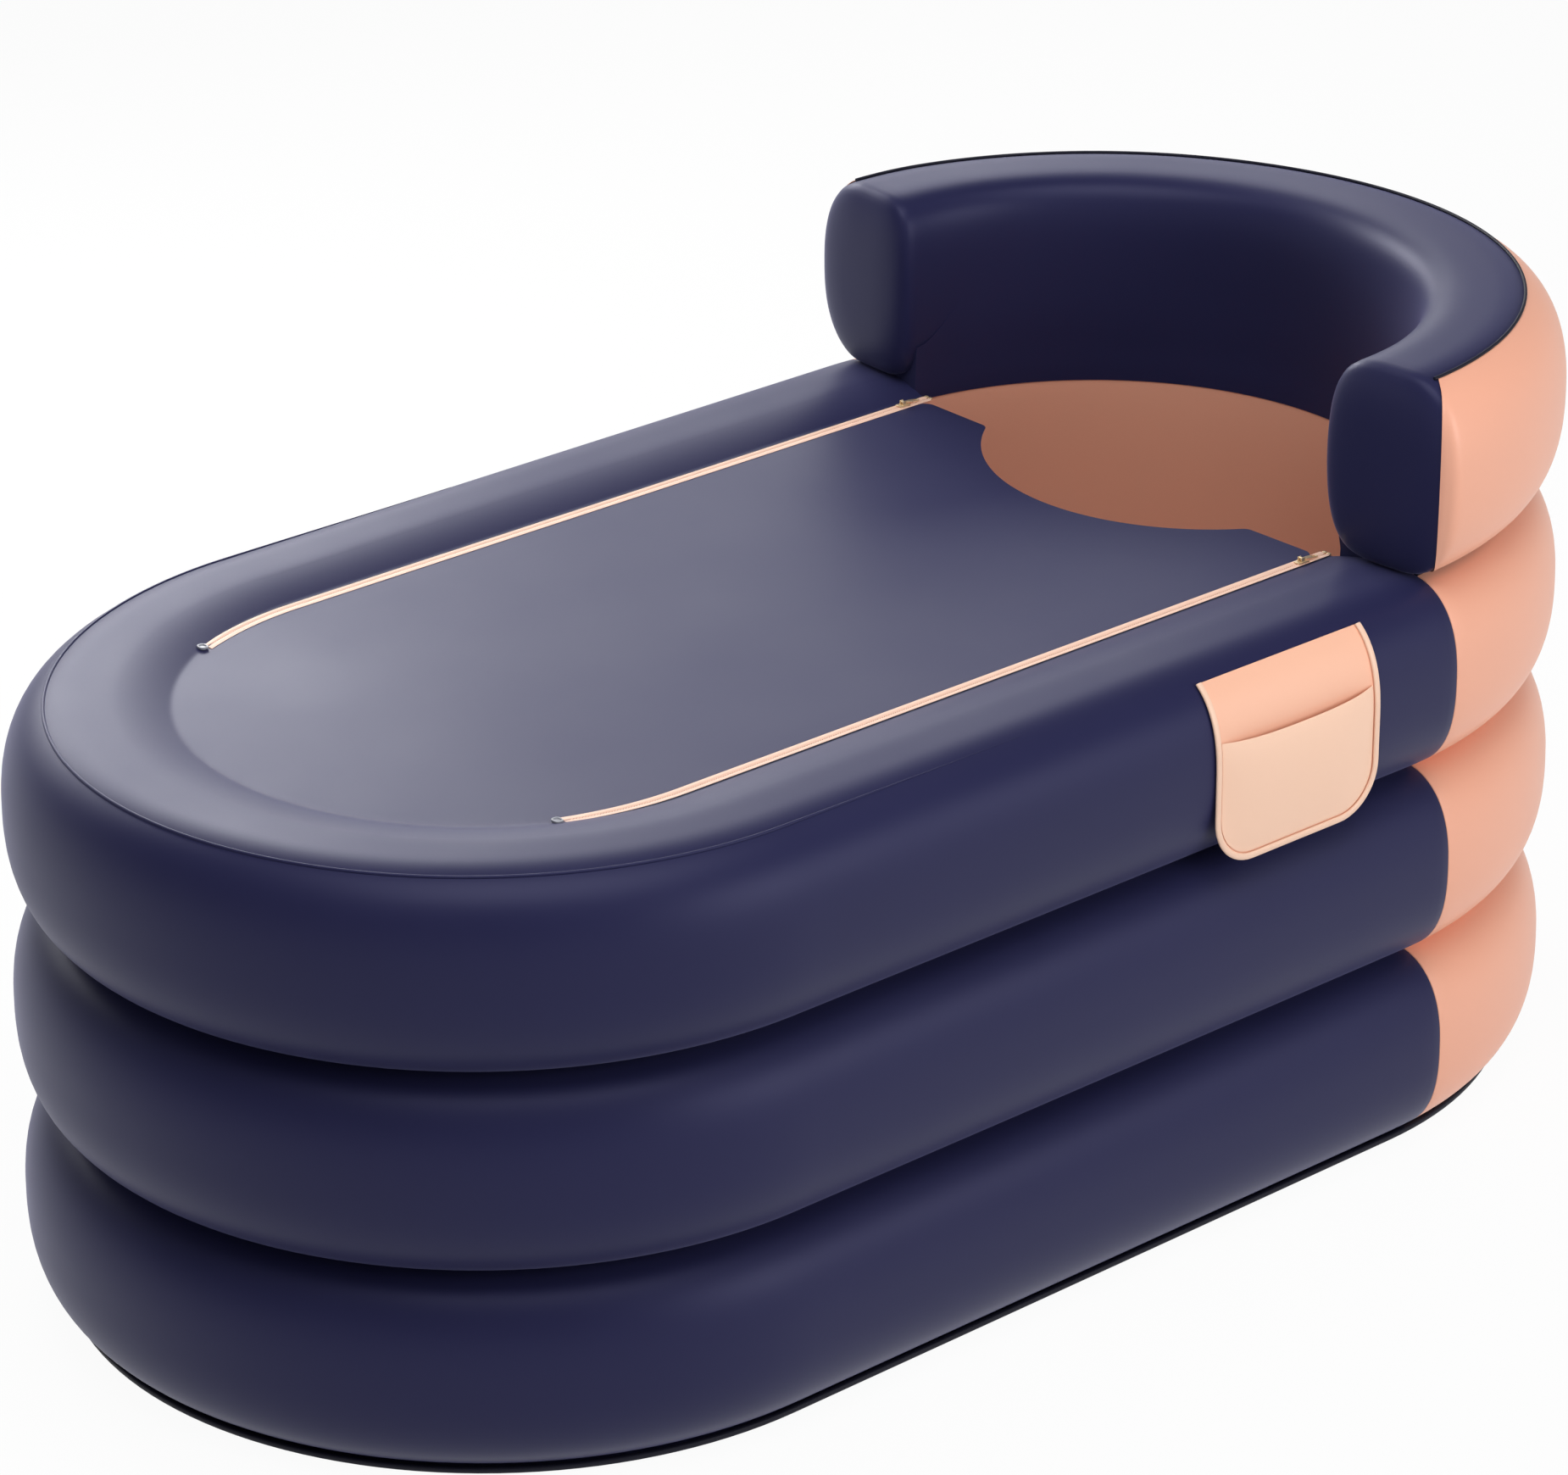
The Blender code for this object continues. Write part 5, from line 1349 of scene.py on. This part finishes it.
duct = lathe("drain_pipe", [
    (0.0110, -0.1446), (0.0132, -0.1446), (0.0132, 0.0003), (0.0182, 0.0003), (0.0190, 0.0006),
    (0.0190, 0.0013), (0.0184, 0.0018), (0.0138, 0.0018), (0.0132, 0.0023), (0.0132, 0.0115),
    (0.0129, 0.0118), (0.0113, 0.0118), (0.0110, 0.0115)], closed=True)
drain_part(duct, VALVE_PVC, "tub", "valve_white", "drain_duct")
drain_room = lathe("drain_room", [
    (0.0, 0.0100), (0.0121, 0.0100), (0.0121, -0.1400), (0.0, -0.1400)], closed=False)
drain_room.data.transform(drain_place)
cut_out(drain_room, "lower_front_tube", "well_lining")
collar = lathe("drain_inner_ring", [
    (0.0135, -0.1326), (0.0184, -0.1326), (0.0190, -0.1322), (0.0190, -0.1311),
    (0.0135, -0.1311)], closed=True)
drain_part(collar, VALVE_PVC, "tub", "valve_white", "drain_inner_collar")
washer = lathe("drain_seal", [
    (0.0, 0.0121), (0.0128, 0.0121), (0.0132, 0.0124), (0.0132, 0.0133), (0.0128, 0.0136),
    (0.0, 0.0136)], closed=False)
drain_part(washer, SILICONE, "drain_washer", "silicone", "drain_cap_washer")
screw_cap = lathe("drain_screw_cap", [
    (0.0, 0.0139), (0.0136, 0.0139), (0.0136, 0.0042), (0.0140, 0.0038), (0.0150, 0.0038),
    (0.0153, 0.0042), (0.0153, 0.0154), (0.0146, 0.0161), (0.0110, 0.0161), (0.0104, 0.0156),
    (0.0, 0.0156)], closed=False)
select_only(screw_cap)
bpy.ops.object.mode_set(mode="EDIT")
ribs = select_parts(screw_cap, "FACE", lambda face: (
    0.0150 < math.hypot(*face.calc_center_median().xy) < 0.0154 and abs(face.normal.z) < 0.2
    and round(math.atan2(*face.calc_center_median().xy) / math.tau * 48 - 0.5) % 2 == 0))
bpy.ops.mesh.extrude_region_shrink_fatten(TRANSFORM_OT_shrink_fatten={"value": 0.0006})
bpy.ops.object.mode_set(mode="OBJECT")
drain_part(screw_cap, VALVE_PVC, "drain_cap", "valve_white", "drain_cap")
stopper = lathe("drain_stopper", [
    (0.0, -0.1474), (0.0144, -0.1474), (0.0150, -0.1470), (0.0150, -0.1453), (0.0145, -0.1449),
    (0.0107, -0.1449), (0.0107, -0.1335), (0.0101, -0.1329), (0.0, -0.1329)], closed=False)
grip = rounded_box("grip", (-0.0070, -0.0015, -0.1574), (0.0070, 0.0015, -0.1466), 0.0010)
join(stopper, grip)
drain_part(stopper, SILICONE, "drain_plug", "silicone", "drain_plug")
print("grip ribs on the drain cap:", ribs)

# %% [markdown]
# ## Light, floor and camera
#
# The tub stands in a plain studio. Three soft boxes on the far side make the long pale sheen on the
# cover, on the backrest and on the crown at the foot. One above lights the crowns, one in front
# lights the near side, and the pale floor lights the bellies of the rings from below. The floor
# shows white to the camera but still takes the tub's shadow.

# %% Floor
deselect_all()
bpy.ops.mesh.primitive_plane_add(size=60.0, location=(0.0, 0.0, 0.0))
floor = rename(bpy.context.object, "studio_floor")
for vert in floor.data.vertices:
    vert.co.z = -0.0002
floor_paint = bpy.data.materials.new("white studio floor")
floor_paint.use_nodes = True
tree = floor_paint.node_tree
tree.nodes.clear()
matte = add_node(tree, "ShaderNodeBsdfDiffuse", Color=(0.80, 0.80, 0.80, 1.0))
glow = add_node(tree, "ShaderNodeEmission", Color=(1.0, 1.0, 1.0, 1.0), Strength=1.0)
rays = add_node(tree, "ShaderNodeLightPath")
either = add_math(tree, "MAXIMUM")
any_of = add_math(tree, "MAXIMUM")
share = add_math(tree, "MULTIPLY")
share.inputs[1].default_value = 0.95
mix = add_node(tree, "ShaderNodeMixShader")
out = add_node(tree, "ShaderNodeOutputMaterial")
wire(tree, (rays, "Is Camera Ray", either, 0), (rays, "Is Glossy Ray", either, 1),
     (either, 0, any_of, 0), (rays, "Is Transmission Ray", any_of, 1),
     (any_of, 0, share, 0), (share, 0, mix, "Fac"), (matte, "BSDF", mix, 1),
     (glow, "Emission", mix, 2), (mix, "Shader", out, "Surface"))
floor.data.materials.append(floor_paint)

# %% World and soft boxes
world = bpy.data.worlds.new("studio air")
bpy.context.scene.world = world
world.use_nodes = True
tree = world.node_tree
tree.nodes.clear()
direction = add_node(tree, "ShaderNodeTexCoord")
parts = add_node(tree, "ShaderNodeSeparateXYZ")
height = add_node(tree, "ShaderNodeValToRGB")
low_band, high_band = height.color_ramp.elements
low_band.position = 0.10
low_band.color = (0.55, 0.55, 0.55, 1.0)
high_band.position = 0.36
high_band.color = (0.15, 0.15, 0.155, 1.0)
air = add_node(tree, "ShaderNodeBackground", Strength=1.0)
out = add_node(tree, "ShaderNodeOutputWorld")
wire(tree, (direction, "Generated", parts, "Vector"), (parts, "Z", height, "Fac"),
     (height, "Color", air, "Color"), (air, "Background", out, "Surface"))


def soft_box(name, place, aim, size, power):
    """A rectangular lamp at a place that faces a point."""
    lamp = bpy.data.lights.new(name, "AREA")
    lamp.shape = "RECTANGLE"
    lamp.size, lamp.size_y = size
    lamp.energy = power
    box = bpy.data.objects.new(name, lamp)
    bpy.context.scene.collection.objects.link(box)
    turned_to = (Vector(aim) - Vector(place)).to_track_quat("-Z", "Y").to_matrix().to_4x4()
    box.matrix_world = Matrix.Translation(place) @ turned_to
    return box


soft_box("sheen box", (0.55, 2.47, 1.73), (-0.5, 0.0, 0.5), (1.3, 1.0), 43)
soft_box("head sheen box", (2.1, 2.4, 1.74), (0.40, 0.1, 0.55), (1.6, 1.0), 15)
soft_box("top box", (-0.6, -0.8, 3.2), (0.0, 0.0, 0.4), (2.6, 2.2), 62)
soft_box("front box", (1.2, -3.6, 1.5), (0.3, 0.0, 0.35), (2.2, 1.6), 52)
soft_box("foot box", (-0.4, 3.0, 1.7), (-0.5, 0.1, 0.5), (1.2, 1.0), 14)

# %% Camera
FOCAL_PIXELS, WIDE_PIXELS, TALL_PIXELS = 7151.95, 1850.0, 1740.0
CENTRE_X, CENTRE_Y = 956.28, 957.93
SENSOR = 36.0
ROLL = math.radians(-0.134)
lens = bpy.data.cameras.new("photo camera")
lens.sensor_fit = "HORIZONTAL"
lens.sensor_width = SENSOR
lens.lens = FOCAL_PIXELS / WIDE_PIXELS * SENSOR
lens.shift_x = (WIDE_PIXELS / 2 - CENTRE_X) / WIDE_PIXELS
lens.shift_y = (CENTRE_Y - TALL_PIXELS / 2) / WIDE_PIXELS
lens.clip_end = 200.0
camera = bpy.data.objects.new("photo camera", lens)
bpy.context.scene.collection.objects.link(camera)
stand = Vector((-3.1713827, -3.54789791, 2.50494826))
look = (Vector((0.0, 0.0, 0.3)) - stand).normalized()
turned_to = look.to_track_quat("-Z", "Y").to_matrix().to_4x4()
camera.matrix_world = Matrix.Translation(stand) @ turned_to @ Matrix.Rotation(ROLL, 4, "Z")
bpy.context.scene.camera = camera
bpy.context.scene.view_settings.view_transform = "Standard"
